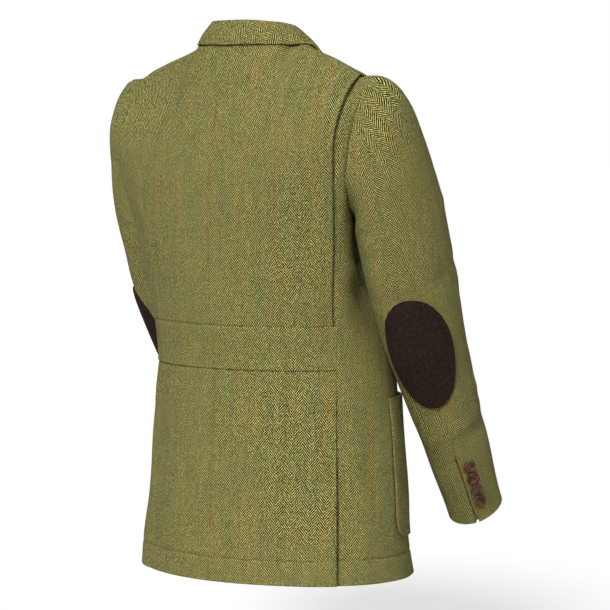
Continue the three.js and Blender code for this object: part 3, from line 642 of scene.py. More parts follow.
CREASES: list[Crease] = [
    # under the arm: drags from the armhole's foot down and forward
    *both("side", ((0.05, 0.35), (0.35, 0.1), (0.75, -24)), 9, -3.2, -4.2),
    *both("side", ((0.02, -2), (0.3, -20), (0.62, -62)), 8, 2.0, 2.8),
    *both("side", ((0.1, -34), (0.4, -58), (0.85, -92)), 10, -2.2, -3.0),
    *both("side", ((0.0, -92), (0.3, -118), (0.7, -140)), 12, 1.6, 2.0),
    # long soft rolls in the back and skirt
    *both("back", ((0.86, 0.15), (0.8, 0.6), (0.84, 1.1)), 15, -1.6, -2.2),
    *both("back", ((0.66, 0.05), (0.62, 0.6), (0.7, 1.15)), 17, 1.5, 1.2),
    *both("back", ((0.3, 0.0), (0.34, 0.5), (0.44, 1.0)), 20, -1.2, -0.8),
    *both("back", ((0.2, 1.75), (0.5, 1.6), (0.8, 1.3)), 16, 1.3, 1.0),
    *both("body", ((50, -470), (48, -600), (50, -740)), 14, 1.4, 1.8),
    *both("body", ((35, -480), (36, -610), (33, -750)), 18, -1.5, -1.1),
    *both("body", ((14, -500), (12, -620), (16, -750)), 22, 1.2, 0.9),
    *both("body", ((84, -470), (82, -600), (86, -740)), 16, -2.0, -2.6),
    *both("body", ((97, -480), (99, -600), (96, -740)), 16, 2.0, 1.6),
    # the front: pull from the top button and long rolls below it
    *both("body", ((170, -318), (150, -345), (128, -352)), 9, 1.8, 1.2),
    *both("body", ((170, -330), (148, -372), (124, -402)), 10, -1.8, -1.4),
    *both("body", ((160, -440), (157, -560), (161, -700)), 18, 1.6, 1.2),
    *both("body", ((142, -300), (136, -250), (132, -226)), 12, -1.6, -1.2),
    # sleeve head: flatter on top and fuller below, then soft hollows under the shoulder
    *both("sleeve", ((55, -0.95), (90, -0.94), (125, -0.95)), 15, -5.5, -2.5),
    *both("sleeve", ((15, -0.7), (60, -0.62), (105, -0.6)), 26, 6.0, 3.0),
    *both("sleeve", ((80, -0.74), (120, -0.62), (160, -0.45)), 26, 3.5, 5.5),
    *both("sleeve", ((45, -0.78), (40, -0.45), (36, -0.1)), 11, -1.5, -2.0),
    *both("sleeve", ((118, -0.7), (128, -0.4), (140, -0.05)), 12, -1.6, -1.4),
    *both("sleeve", ((340, -0.6), (352, -0.3), (15, 0.0)), 10, 1.6, 2.2),
    # crook of the arm and the creases above the cuff
    *both("tube", ((130, 0.24), (185, 0.3), (232, 0.25)), 9, -3.4, -3.0),
    *both("tube", ((140, 0.33), (190, 0.38), (240, 0.36)), 8, 2.4, 2.0),
    *both("tube", ((128, 0.42), (184, 0.45), (236, 0.47)), 9, -3.0, -2.6),
    *both("tube", ((80, 0.52), (130, 0.58), (200, 0.57)), 11, 1.8, 1.5),
    *both("tube", ((330, 0.1), (0, 0.16), (40, 0.14)), 11, -1.8, -2.4),
    *both("tube", ((60, 0.66), (95, 0.7), (140, 0.68)), 11, -1.6, -1.9),
    *both("tube", ((340, 0.6), (5, 0.66), (30, 0.7)), 10, 1.3, 1.7),
    *both("tube", ((75, 0.05), (85, 0.25), (80, 0.45)), 15, 1.6, 1.2),
]
WAVES = (  # direction of each slow wave, its length and its height
    ((0.9, 0.3, 0.32), 137.0, 0.55),
    ((-0.35, 0.8, 0.5), 96.0, 0.45),
    ((0.5, -0.6, 0.62), 71.0, 0.32),
    ((0.2, 0.9, -0.4), 53.0, 0.2),
)


def drape(points: Array) -> Array:
    """Lift of the cloth at each point: every crease plus four slow sine waves through space."""
    flat = points.reshape(-1, 3)
    lift = np.zeros(len(flat))
    for crease in CREASES:
        lift += crease.lift(flat)
    for phase, (way, length, height) in enumerate(WAVES):
        lift += height * np.sin(flat @ unit(np.array(way)) * (2 * math.pi / length) + 1.7 * phase)
    return lift.reshape(points.shape[:-1])


# Meshes


def grid_faces(across: int, along: int, flip: bool) -> Array:
    """Corner numbers of the four-sided faces of a closed double grid.

    Vertex i, j of the outer grid is i * along + j, and the inner grid follows it. The rim joins
    the two round all four edges.

    Args:
        across: Number of columns.
        along: Number of rows.
        flip: Whether every face is turned round.

    Returns:
        Faces of shape (count, 4).
    """
    i, j = np.meshgrid(np.arange(across - 1), np.arange(along - 1), indexing="ij")
    a = (i * along + j).ravel()
    top = np.stack([a, a + 1, a + along + 1, a + along], 1)
    shift = across * along
    under = np.stack([a, a + along, a + along + 1, a + 1], 1) + shift
    r, s = np.arange(along - 1), np.arange(across - 1)
    last_u, last_v = (across - 1) * along, along - 1
    rim = [
        np.stack([r + 1, r, r + shift, r + 1 + shift], 1),
        np.stack([r, r + 1, r + 1 + shift, r + shift], 1) + last_u,
        np.stack([s * along, (s + 1) * along, (s + 1) * along + shift, s * along + shift], 1),
        np.stack([(s + 1) * along, s * along, s * along + shift, (s + 1) * along + shift], 1) + last_v,
    ]
    faces = np.concatenate([top, under, *rim])
    return faces[:, ::-1] if flip else faces


def make_object(name: str, vertices: Array, faces: Array, material: bpy.types.Material,
                uv: Array | None = None) -> bpy.types.Object:
    """Puts a mesh of four-sided faces into the scene.

    Args:
        name: Name of the object.
        vertices: Points in millimetres, of shape (count, 3).
        faces: Corner numbers, of shape (count, 4).
        material: Its finish.
        uv: Places on the flat cloth in metres for each vertex, or None.

    Returns:
        The new object.
    """
    mesh = bpy.data.meshes.new(name)
    mesh.vertices.add(len(vertices))
    mesh.vertices.foreach_set("co", (vertices * MM).astype(np.float32).ravel())
    mesh.loops.add(faces.size)
    mesh.loops.foreach_set("vertex_index", faces.astype(np.int32).ravel())
    mesh.polygons.add(len(faces))
    mesh.polygons.foreach_set("loop_start", np.arange(0, faces.size, 4, dtype=np.int32))
    mesh.polygons.foreach_set("use_smooth", np.ones(len(faces), bool))
    if uv is not None:
        layer = mesh.uv_layers.new(name=UV_NAME)
        layer.uv.foreach_set("vector", uv[faces.ravel()].astype(np.float32).ravel())
    mesh.update(calc_edges=True)
    mesh.validate()
    mesh.materials.append(material)
    obj = bpy.data.objects.new(name, mesh)
    bpy.context.scene.collection.objects.link(obj)
    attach(obj, BODY_NAME)
    return obj


def arc_lengths(points: Array, axis: int, origin: int) -> Array:
    """Distance walked along one axis of a grid of points, counted from the row at origin."""
    steps = np.linalg.norm(np.diff(points, axis=axis), axis=-1)
    pad = [(1, 0) if a == axis else (0, 0) for a in range(2)]
    walked = np.cumsum(np.pad(steps, pad), axis=axis)
    return walked - np.take(walked, [origin], axis=axis)


def hats(at: Array, knots: Array) -> Array:
    """Weights of straight-line interpolation between knots, one row for each place."""
    return np.stack([np.interp(at, knots, row) for row in np.eye(len(knots))], 1)


def laid_flat(points: Array, guess: Array, origin: tuple[int, int], cell: float = 13.0,
              rounds: int = 900) -> Array:
    """Flattens a curved grid with as little stretch as it can, as cloth cut from a flat piece.

    On a coarse grid, springs along both directions and both diagonals pull each pair of points to
    its distance along the cloth, which for a diagonal follows from the two sides and the angle
    between them. The result is turned and moved to match the guess round the origin, and its
    difference from the guess is spread over the fine grid by straight-line interpolation.

    Args:
        points: Grid of places on the form.
        guess: First flat places.
        origin: Grid point whose surroundings keep their place.
        cell: Size of the coarse grid.
        rounds: Number of relaxing steps.

    Returns:
        Flat places, in the unit of the guess.
    """
    lengths = [arc_lengths(points, axis, 0).mean(1 - axis) for axis in (0, 1)]
    picks = []
    for length in lengths:
        wanted = np.linspace(0, length[-1], max(3, round(length[-1] / cell)))
        picks.append(np.unique(np.searchsorted(length, wanted - 1e-6).clip(0, len(length) - 1)))
    rows = np.ix_(*picks)
    start = guess[rows]
    flat = start.copy()
    across = np.diff(arc_lengths(points, 0, 0)[rows], axis=0)
    along = np.diff(arc_lengths(points, 1, 0)[rows], axis=1)
    ways = [unit(np.gradient(points, axis=axis))[rows] for axis in (0, 1)]
    lean = (ways[0] * ways[1]).sum(-1)
    lean = (lean[1:, 1:] + lean[:-1, 1:] + lean[1:, :-1] + lean[:-1, :-1]) / 4
    wide, tall = (across[:, 1:] + across[:, :-1]) / 2, (along[1:] + along[:-1]) / 2
    square, twice = wide**2 + tall**2, 2 * wide * tall * lean
    every, front, back = slice(None), slice(None, -1), slice(1, None)
    pulls = [((front, every), (back, every), across), ((every, front), (every, back), along),
             ((front, front), (back, back), np.sqrt(square + twice)),
             ((front, back), (back, front), np.sqrt(square - twice))]
    for _ in range(rounds):
        move = np.zeros(flat.shape)
        for one, two, length in pulls:
            gap = flat[two] - flat[one]
            now = np.maximum(np.linalg.norm(gap, axis=-1), 1e-6)
            pull = gap * ((now - length) / now)[..., None] * 0.19
            move[one] += pull
            move[two] -= pull
        flat += move
    near = np.exp(-(np.linalg.norm(start - guess[origin], axis=-1) / 90) ** 2)[..., None]
    old_middle = (start * near).sum((0, 1)) / near.sum()
    new_middle = (flat * near).sum((0, 1)) / near.sum()
    old = (start - old_middle) @ np.array((1, 1j))
    new = (flat - new_middle) @ np.array((1, 1j))
    turn = (old * new.conj() * near[..., 0]).sum()
    new = new * turn / abs(turn)
    flat = np.stack([new.real, new.imag], -1) + old_middle
    weights = [hats(length, length[pick]) for length, pick in zip(lengths, picks)]
    change = np.einsum("ia,abk,jb->ijk", weights[0], flat - start, weights[1], optimize=True)
    return guess + change


@dataclass
class Panel:
    """One cut piece of cloth: a closed shell over a surface of the form.

    Its outer face stands off the surface by low plus thick, its inner one by low, both moved by
    the drape. A free edge is rounded as a half circle of the wall, a sewn one sinks a little.
    """

    node: str
    point: Surface
    us: Array
    vs: Array
    turn: int = 1
    right: bool = False
    thick: float = CLOTH
    low: Callable[[Array, Array], Array] | None = None
    face: Surface | None = None
    shared: dict[str, Callable[[Array], Array]] = field(default_factory=dict)
    edges: tuple[Edge, Edge, Edge, Edge] = (Edge.SEAM,) * 4
    slot: Slot = Slot.TWEED
    held: str = "hung"
    rests_on: tuple[str, ...] = ()
    grain: float = 0.0
    origin: tuple[float, float] = (0.0, 0.0)
    base: tuple[float, float] = (0.0, 0.0)
    sunk: Callable[[Array, Array], Array] | None = None

    @property
    def name(self) -> str:
        """Name of the piece in the scene."""
        return f"cloth_{self.node}"

    def faces_of_form(self, u: Array, v: Array, points: Array) -> Array:
        """Outward directions of the piece, eased into the shared ones at its edges.

        Args:
            u: Grid of the first parameter.
            v: Grid of the second parameter.
            points: Grid of places.

        Returns:
            Directions of shape (across, along, 3).
        """
        if self.face:
            out = self.face(u, v)
        else:
            out = unit(np.cross(np.gradient(points, axis=1), np.gradient(points, axis=0)))
            out = out * self.turn * self.way()
        reach = 9.0
        for key, shared in self.shared.items():
            axis, last = ("u", "v").index(key[0]), key[1] == "1"
            distance = self.edge_distance(points, axis, last)
            weight = (1 - ease(0, reach, distance))[..., None]
            edge_way = shared(self.vs if axis == 0 else self.us)
            edge_way = edge_way[None, :, :] if axis == 0 else edge_way[:, None, :]
            out = unit(lerp(out, edge_way, weight))
        return out

    def way(self) -> float:
        """-1 where the parameters run backward against their surface's rising ones."""
        return math.copysign(1, (self.us[-1] - self.us[0]) * (self.vs[-1] - self.vs[0]))

    def edge_distance(self, points: Array, axis: int, last: bool) -> Array:
        """Distance of each grid point from one edge, along the cloth."""
        return np.abs(arc_lengths(points, axis, points.shape[axis] - 1 if last else 0))

    def build(self, material: bpy.types.Material) -> bpy.types.Object:
        """Makes the shell, hides the part it replaces and logs the size it was cut to.

        Args:
            material: Finish of the cloth.

        Returns:
            The new object.
        """
        u, v = np.meshgrid(self.us, self.vs, indexing="ij")
        points = self.point(u, v)
        out = self.faces_of_form(u, v, points)
        mirror = np.array((-1.0, 1.0, 1.0)) if self.right else np.ones(3)
        low = self.low(u, v) if self.low else np.zeros(u.shape)
        half = np.full(u.shape, self.thick / 2)
        middle = low + half
        reach = np.full(u.shape, 1.0)
        for n, kind in enumerate(self.edges):
            distance = self.edge_distance(points, n // 2, n % 2 == 1)
            if kind in (Edge.FREE, Edge.OVER):
                inside = np.clip(1 - distance / (self.thick / 2), 0, 0.985)
                reach = np.minimum(reach, np.sqrt(1 - inside**2))
            rise, wide = EDGE_RISE[kind]
            middle = middle + rise * np.exp(-((distance / wide) ** 2))
        if self.sunk:
            middle = middle - self.sunk(u, v)
        middle = middle + drape(points * mirror)
        outer = points + out * (middle + half * reach)[..., None]
        inner = points + out * (middle - half * reach)[..., None]
        for grid in (outer, inner):
            trim(grid, SEAM_GAP / 2)
        flat, (width, length) = self.flat_map(points)
        vertices = np.concatenate([outer.reshape(-1, 3), inner.reshape(-1, 3)]) * mirror
        middle_of_cut = (flat.min((0, 1)) + flat.max((0, 1))) / 2
        turned_under = 1 + 2 * self.thick * MM / np.maximum(np.ptp(flat, axis=(0, 1)), 0.01)
        back_face = middle_of_cut + (flat - middle_of_cut) * turned_under
        maps = np.concatenate([flat.reshape(-1, 2), back_face.reshape(-1, 2)])
        backward = self.way() < 0
        faces = grid_faces(*u.shape, ((self.turn > 0) == self.right) != backward)
        obj = make_object(self.name, vertices, faces, material, maps)
        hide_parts(self.node)
        LOG.info("%s: %d faces, cut %.0f by %.0f mm", self.name, len(faces), width / MM, length / MM)
        return obj

    def flat_map(self, points: Array) -> tuple[Array, tuple[float, float]]:
        """Places on the flat cloth: distances walked along the grid, turned by grain.

        Args:
            points: Grid of places on the form.

        Returns:
            Places in metres on the grid, and the cut's width and length.
        """
        i = int(np.argmin(np.abs(self.us - self.origin[0])))
        j = int(np.argmin(np.abs(self.vs - self.origin[1])))
        across = arc_lengths(points, 0, i) * math.copysign(1, self.us[-1] - self.us[0])
        along = arc_lengths(points, 1, j) * math.copysign(1, self.vs[-1] - self.vs[0])
        turned = self.grain * RAD
        x = across * math.cos(turned) - along * math.sin(turned) + self.base[0]
        y = across * math.sin(turned) + along * math.cos(turned) + self.base[1]
        size = (float(np.ptp(across)) * MM, float(np.ptp(along)) * MM)
        return laid_flat(points, np.stack([x, y], -1), (i, j)) * MM, size


def trim(grid: Array, amount: float) -> None:
    """Moves the four edges of a grid of points inward by amount, in place."""
    for axis in (0, 1):
        view = np.moveaxis(grid, axis, 0)
        for edge, step in ((0, 1), (-1, -2)):
            view[edge] = view[edge] + unit(view[step] - view[edge]) * amount


# Sewing


@dataclass(frozen=True)
class Thread:
    """A row of stitches along a path.

    Each stitch is a short ring-sided grain: its rings shrink to both ends as a half circle, and
    it bows up from the cloth as a half sine wave.
    """

    pitch: float = 4.2
    length: float = 2.8
    radius: float = 0.35
    bow: float = 0.25
    rings: int = 5
    sides: int = 6

    def grains(self, path: Array, out: Array) -> tuple[Array, Array]:
        """Works out all stitches of a row at once.

        Args:
            path: Chain of points on the cloth, of shape (count, 3).
            out: Outward direction at each of them.

        Returns:
            Vertices, and faces of four corners.
        """
        walked = np.concatenate(([0], np.cumsum(np.linalg.norm(np.diff(path, axis=0), axis=1))))
        count = max(1, int((walked[-1] - self.length) / self.pitch))
        starts = np.linspace(0, walked[-1] - self.length, count)
        share = np.linspace(0, 1, self.rings)
        at = starts[:, None] + share * self.length
        centre = np.stack([np.interp(at, walked, path[:, n]) for n in range(3)], -1)
        up = unit(np.stack([np.interp(at, walked, out[:, n]) for n in range(3)], -1))
        along = unit(centre[:, -1:] - centre[:, :1])
        across = unit(np.cross(along, up))
        size = self.radius * np.sqrt(np.clip(1 - (2 * share - 1) ** 2, 0.06, 1))
        turn = np.arange(self.sides) / self.sides * 2 * math.pi
        ring = (across[:, :, None] * np.cos(turn)[:, None] + up[:, :, None] * np.sin(turn)[:, None])
        lifted = centre + up * (self.bow * np.sin(math.pi * share))[None, :, None]
        points = lifted[:, :, None] + ring * size[None, :, None, None]
        r, s = np.meshgrid(np.arange(self.rings - 1), np.arange(self.sides), indexing="ij")
        a, b = r * self.sides + s, r * self.sides + (s + 1) % self.sides
        tube = np.stack([a, a + self.sides, b + self.sides, b], -1).reshape(-1, 4)
        end = (self.rings - 1) * self.sides
        caps = np.array([[0, 1, 2, 3], [0, 3, 4, 5], [3, 2, 1, 0], [5, 4, 3, 0]])
        caps[2:] += end
        faces = np.concatenate([tube, caps])
        shift = np.arange(count)[:, None, None] * (self.rings * self.sides)
        return points.reshape(-1, 3), (faces[None] + shift).reshape(-1, 4)


class Sewing:
    """Collects rows of stitches and makes one piece of each colour."""

    def __init__(self, name: str, material: bpy.types.Material, slot: Slot) -> None:
        """Starts an empty collection with its name, finish and slot."""
        self.name, self.material, self.slot = name, material, slot
        self.vertices: list[Array] = []
        self.faces: list[Array] = []

    def row(self, surface: Surface, line: tuple[Array, Array], lift: Array, thread: Thread,
            turn: int = 1, right: bool = False) -> None:
        """Sews one row along a line of a surface.

        Args:
            surface: Surface of the form.
            line: Its two parameters along the row.
            lift: Height of the cloth's outer face over the surface.
            thread: The stitch.
            turn: 1 or -1, as for the surface's panel.
            right: Whether the row is mirrored to the wearer's right.
        """
        u, v = (np.asarray(p, float) for p in line)
        mirror = np.array((-1.0, 1.0, 1.0)) if right else np.ones(3)
        base = surface(u, v)
        out = face_at(surface, u, v, turn)
        path = base + out * (lift + drape(base * mirror))[..., None]
        points, faces = thread.grains(path * mirror, out * mirror)
        self.faces.append(faces + sum(len(p) for p in self.vertices))
        self.vertices.append(points)

    def finish(self) -> bpy.types.Object:
        """Makes the piece.

        Returns:
            The new object.
        """
        obj = make_object(self.name, np.concatenate(self.vertices), np.concatenate(self.faces),
                          self.material)
        mesh = obj.data
        if signed_volume(mesh) < 0:
            mesh.flip_normals()
        LOG.info("%s: %d faces", self.name, len(mesh.polygons))
        return obj


def signed_volume(mesh: bpy.types.Mesh) -> float:
    """Volume inside a mesh, negative where its faces look inward."""
    mesh.calc_loop_triangles()
    points = np.empty(len(mesh.vertices) * 3, np.float32)
    mesh.vertices.foreach_get("co", points)
    corners = np.empty(len(mesh.loop_triangles) * 3, np.int32)
    mesh.loop_triangles.foreach_get("vertices", corners)
    a, b, c = points.reshape(-1, 3)[corners.reshape(-1, 3)].transpose(1, 0, 2)
    return float((a * np.cross(b, c)).sum() / 6)


# Shader nodes


def linear(red: int, green: int, blue: int) -> tuple[float, float, float, float]:
    """A colour from 8-bit screen values, as linear light."""
    def one(value: int) -> float:
        """One channel as linear light."""
        c = value / 255
        return c / 12.92 if c <= 0.04045 else ((c + 0.055) / 1.055) ** 2.4
    return one(red), one(green), one(blue), 1.0


class Nodes:
    """Short ways to place and join nodes in one tree."""

    def __init__(self, tree: bpy.types.NodeTree) -> None:
        """Keeps the tree."""
        self.tree = tree

    def add(self, kind: str, inputs: dict | None = None, **settings: object) -> bpy.types.Node:
        """Places a node.

        Args:
            kind: Its type without the ShaderNode prefix.
            inputs: Value or socket for each named or numbered input.
            **settings: Properties set before the inputs.

        Returns:
            The node.
        """
        node = self.tree.nodes.new(f"ShaderNode{kind}")
        for key, value in settings.items():
            setattr(node, key, value)
        for key, value in (inputs or {}).items():
            if isinstance(value, bpy.types.NodeSocket):
                self.tree.links.new(value, node.inputs[key])
            else:
                node.inputs[key].default_value = value
        return node

    def math(self, operation: str, a: object, b: object = 0.0, c: object = 0.0) -> bpy.types.NodeSocket:
        """One math node's value."""
        return self.add("Math", {0: a, 1: b, 2: c}, operation=operation).outputs[0]

    def step(self, value: object, start: float, stop: float) -> bpy.types.NodeSocket:
        """Smooth step from 0 at start to 1 at stop."""
        return self.add("MapRange", {"Value": value, "From Min": start, "From Max": stop},
                        interpolation_type="SMOOTHSTEP").outputs[0]

    def mix(self, share: object, a: object, b: object, blend: str = "MIX") -> bpy.types.NodeSocket:
        """Two colours mixed by a share."""
        return self.add("Mix", {0: share, 6: a, 7: b}, data_type="RGBA", blend_type=blend).outputs[2]

    def noise(self, place: object, scale: float, detail: float = 2.0, **settings: object
              ) -> bpy.types.Node:
        """A noise texture read at place."""
        return self.add("TexNoise", {"Vector": place, "Scale": scale, "Detail": detail}, **settings)


def new_group(name: str, inputs: Sequence[tuple[str, str, object]],
              outputs: Sequence[tuple[str, str]]) -> tuple[bpy.types.NodeTree, Nodes, dict, dict]:
    """Makes an empty shader node group.

    Args:
        name: Its name.
        inputs: Name, socket type and default of each input.
        outputs: Name and socket type of each output.

    Returns:
        The tree, its helper, its inputs by name, and the sockets of its output node by name.
    """
    tree = bpy.data.node_groups.new(name, "ShaderNodeTree")
    for label, kind, default in inputs:
        socket = tree.interface.new_socket(label, in_out="INPUT", socket_type=kind)
        if default is not None:
            socket.default_value = default
    for label, kind in outputs:
        tree.interface.new_socket(label, in_out="OUTPUT", socket_type=kind)
    nodes = Nodes(tree)
    start, end = tree.nodes.new("NodeGroupInput"), tree.nodes.new("NodeGroupOutput")
    return tree, nodes, dict(start.outputs.items()), dict(end.inputs.items())


def mottle_group() -> bpy.types.NodeTree:
    """Soft blotches and fine fibre, as a mask and a height.

    Returns:
        The node group. Its mask is a wide noise, its height a fine noise plus a share of the mask.
    """
    tree, n, given, out = new_group(
        "mottle",
        [("Place", "NodeSocketVector", None), ("Wide", "NodeSocketFloat", 60.0),
         ("Fine", "NodeSocketFloat", 900.0)],
        [("Mask", "NodeSocketFloat"), ("Height", "NodeSocketFloat")])
    wide = n.add("TexNoise", {"Vector": given["Place"], "Scale": given["Wide"], "Detail": 4.0})
    fine = n.add("TexNoise", {"Vector": given["Place"], "Scale": given["Fine"], "Detail": 3.0})
    tree.links.new(n.step(wide.outputs[0], 0.36, 0.66), out["Mask"])
    tree.links.new(n.math("MULTIPLY_ADD", wide.outputs[0], 0.4, fine.outputs[0]), out["Height"])
    return tree


@dataclass(frozen=True)
class Tweed:
    """Herringbone tweed with a faint overcheck and flecks, all read from the cloth's own map."""

    column: float = 11.7
    pitch: float = 4.1
    slope: float = 1.27
    check_wide: float = 55.0
    check_long: float = 68.5
    light: tuple = linear(216, 207, 122)
    light_green: tuple = linear(197, 202, 124)
    dark: tuple = linear(13, 11, 2)
    dark_green: tuple = linear(10, 14, 3)
    rust: tuple = linear(158, 84, 40)
    orange: tuple = linear(192, 134, 60)
    teal: tuple = linear(84, 116, 92)

    def group(self) -> bpy.types.NodeTree:
        """The weave as a node group.

        The twill lines are the fraction of (height plus slope times the zigzag of the width) over
        the pitch. The zigzag turns at every column, and every second column starts half a pitch
        later.

        Returns:
            The node group with the colour, a roughness and the height of the weave.
        """
        tree, n, given, out = new_group(
            "herringbone", [("Cloth", "NodeSocketVector", None)],
            [("Color", "NodeSocketColor"), ("Rough", "NodeSocketFloat"), ("Height", "NodeSocketFloat")])
        flat = n.add("VectorMath", {0: given["Cloth"], "Scale": 1000.0}, operation="SCALE").outputs[0]
        wobble = n.noise(flat, 0.16, 3.0)
        shift = n.add("VectorMath", {0: wobble.outputs["Color"], 1: (0.5, 0.5, 0.5)},
                      operation="SUBTRACT").outputs[0]
        shift = n.add("VectorMath", {0: shift, "Scale": 2.2}, operation="SCALE").outputs[0]
        moved = n.add("VectorMath", {0: flat, 1: shift}, operation="ADD").outputs[0]
        part = n.add("SeparateXYZ", {0: moved})
        across, along = part.outputs[0], part.outputs[1]
        zigzag = n.math("PINGPONG", across, self.column)
        number = n.math("FLOOR", n.math("DIVIDE", across, self.column))
        late = n.math("MULTIPLY", n.math("PINGPONG", number, 1.0), 0.5)
        climb = n.math("MULTIPLY_ADD", zigzag, self.slope, along)
        phase = n.math("ADD", n.math("DIVIDE", climb, self.pitch), late)
        wave = n.math("PINGPONG", phase, 0.5)
        yarn = n.noise(moved, 0.85, 2.0)
        edge = n.math("MULTIPLY_ADD", n.math("SUBTRACT", yarn.outputs[0], 0.5), 0.5, wave)
        line = n.step(edge, 0.28, 0.36)
        twist = n.math("PINGPONG", n.math("ADD", across, n.math("MULTIPLY", along, 0.35)), 0.55)
        tone = n.step(self.streak(n, flat, 0.09, 0.011).outputs[0], 0.36, 0.66)
        weft = n.step(self.streak(n, flat, 0.013, 0.12).outputs[0], 0.36, 0.66)
        color = n.mix(line, n.mix(weft, self.dark, self.dark_green),
                      n.mix(tone, self.light, self.light_green))
        color = self.flecks(n, color, moved, line)
        color = self.checks(n, color, flat, line)
        slub = n.noise(flat, 0.3, 3.0, noise_dimensions="2D")
        shade = n.math("MULTIPLY_ADD", yarn.outputs[0], 1.6, 0.2)
        shade = n.math("MULTIPLY", shade, n.math("MULTIPLY_ADD", slub.outputs[0], 1.9, 0.05))
        gray = n.add("CombineColor", {0: shade, 1: shade, 2: shade}).outputs[0]
        color = n.mix(1.0, color, gray, "MULTIPLY")
        height = n.math("MULTIPLY_ADD", line, 0.7, n.math("MULTIPLY", yarn.outputs[0], 0.5))
        height = n.math("MULTIPLY_ADD", twist, 0.35, height)
        tree.links.new(color, out["Color"])
        tree.links.new(n.math("MULTIPLY_ADD", yarn.outputs[0], 0.16, 0.8), out["Rough"])
        tree.links.new(height, out["Height"])
        return tree

    @staticmethod
    def streak(n: Nodes, flat: object, across: float, along: float) -> bpy.types.Node:
        """A noise drawn out along one thread direction, by its two scales."""
        drawn = n.add("VectorMath", {0: flat, 1: (across, along, 1.0)}, operation="MULTIPLY")
        return n.noise(drawn.outputs[0], 1.0, 2.0)

    def checks(self, n: Nodes, color: object, flat: object, line: object) -> bpy.types.NodeSocket:
        """Lays the overcheck on a colour: broken rust and orange lines along, faint ones across.

        Args:
            n: Helper of the group's tree.
            color: Colour below.
            flat: Place on the cloth in millimetres.
            line: Mask of the light yarns.

        Returns:
            The colour with the lines.
        """
        part = n.add("SeparateXYZ", {0: flat})
        broken = n.step(n.noise(flat, 0.06, 3.0).outputs[0], 0.42, 0.6)
        for axis, period, start, width, tint, strength in (
            (0, self.check_wide * 2, 7.0, 3.4, self.rust, 0.44),
            (0, self.check_wide * 2, 7.0 + self.check_wide, 3.4, self.orange, 0.44),
            (1, self.check_long, 602.0, 2.8, self.rust, 0.24),
            (0, self.check_wide, 7.0 + self.check_wide / 2, 9.0, self.teal, 0.1),
        ):
            place = n.math("ADD", part.outputs[axis], start)
            away = n.math("ABSOLUTE", n.math("WRAP", place, period / 2, -period / 2))
            near = n.step(away, width, 0.0)
            share = n.math("MULTIPLY", n.math("MULTIPLY", near, strength),
                           n.math("MULTIPLY_ADD", broken, 0.8, 0.2))
            share = n.math("MULTIPLY", share, n.math("MULTIPLY_ADD", line, 0.6, 0.4))
            color = n.mix(share, color, tint)
        return color

    def flecks(self, n: Nodes, color: object, place: object, line: object) -> bpy.types.NodeSocket:
        """Tints single yarns by a fine noise, one colour for each of its channels.

        Args:
            n: Helper of the group's tree.
            color: Colour below.
            place: Place on the cloth in millimetres.
            line: Mask of the light yarns.

        Returns:
            The colour with the flecks.
        """
        pick = n.add("SeparateColor", {0: n.noise(place, 0.42, 2.0).outputs["Color"]})
        for channel, tint, strength in ((0, self.rust, 0.34), (1, self.teal, 0.34), (2, self.orange, 0.4)):
            share = n.step(pick.outputs[channel], 0.54, 0.7)
            share = n.math("MULTIPLY", share, n.math("MULTIPLY_ADD", line, 0.8, 0.2))
            color = n.mix(n.math("MULTIPLY", share, strength), color, tint)
        return color

    def material(self) -> bpy.types.Material:
        """The finish of all tweed pieces.

        Returns:
            The material.
        """
        made, n, shader = new_material("tweed", 0.02, 0.5)
        shader.inputs["Specular IOR Level"].default_value = 0.1
        uv = n.add("UVMap", uv_map=UV_NAME)
        weave = n.add("Group", {}, node_tree=self.group())
        n.tree.links.new(uv.outputs[0], weave.inputs["Cloth"])
        bump = n.add("Bump", {"Strength": 0.5, "Distance": 0.0006, "Height": weave.outputs["Height"]})
        n.tree.links.new(weave.outputs["Color"], shader.inputs["Base Color"])
        n.tree.links.new(weave.outputs["Rough"], shader.inputs["Roughness"])
        n.tree.links.new(bump.outputs[0], shader.inputs["Normal"])
        return made


def new_material(name: str, sheen: float, sheen_rough: float, rough: float = 0.9
                 ) -> tuple[bpy.types.Material, Nodes, bpy.types.Node]:
    """An empty node material with a Principled shader.

    Args:
        name: Its name.
        sheen: Sheen weight.
        sheen_rough: Sheen roughness.
        rough: Plain roughness.

    Returns:
        The material, the helper of its tree and its shader.
    """
    made = bpy.data.materials.new(name)
    made.use_nodes = True
    made.node_tree.nodes.clear()
    n = Nodes(made.node_tree)
    shader = n.add("BsdfPrincipled", {"Roughness": rough, "Sheen Weight": sheen,
                                      "Sheen Roughness": sheen_rough, "Specular IOR Level": 0.25})
    n.add("OutputMaterial", {0: shader.outputs[0]})
    return made, n, shader


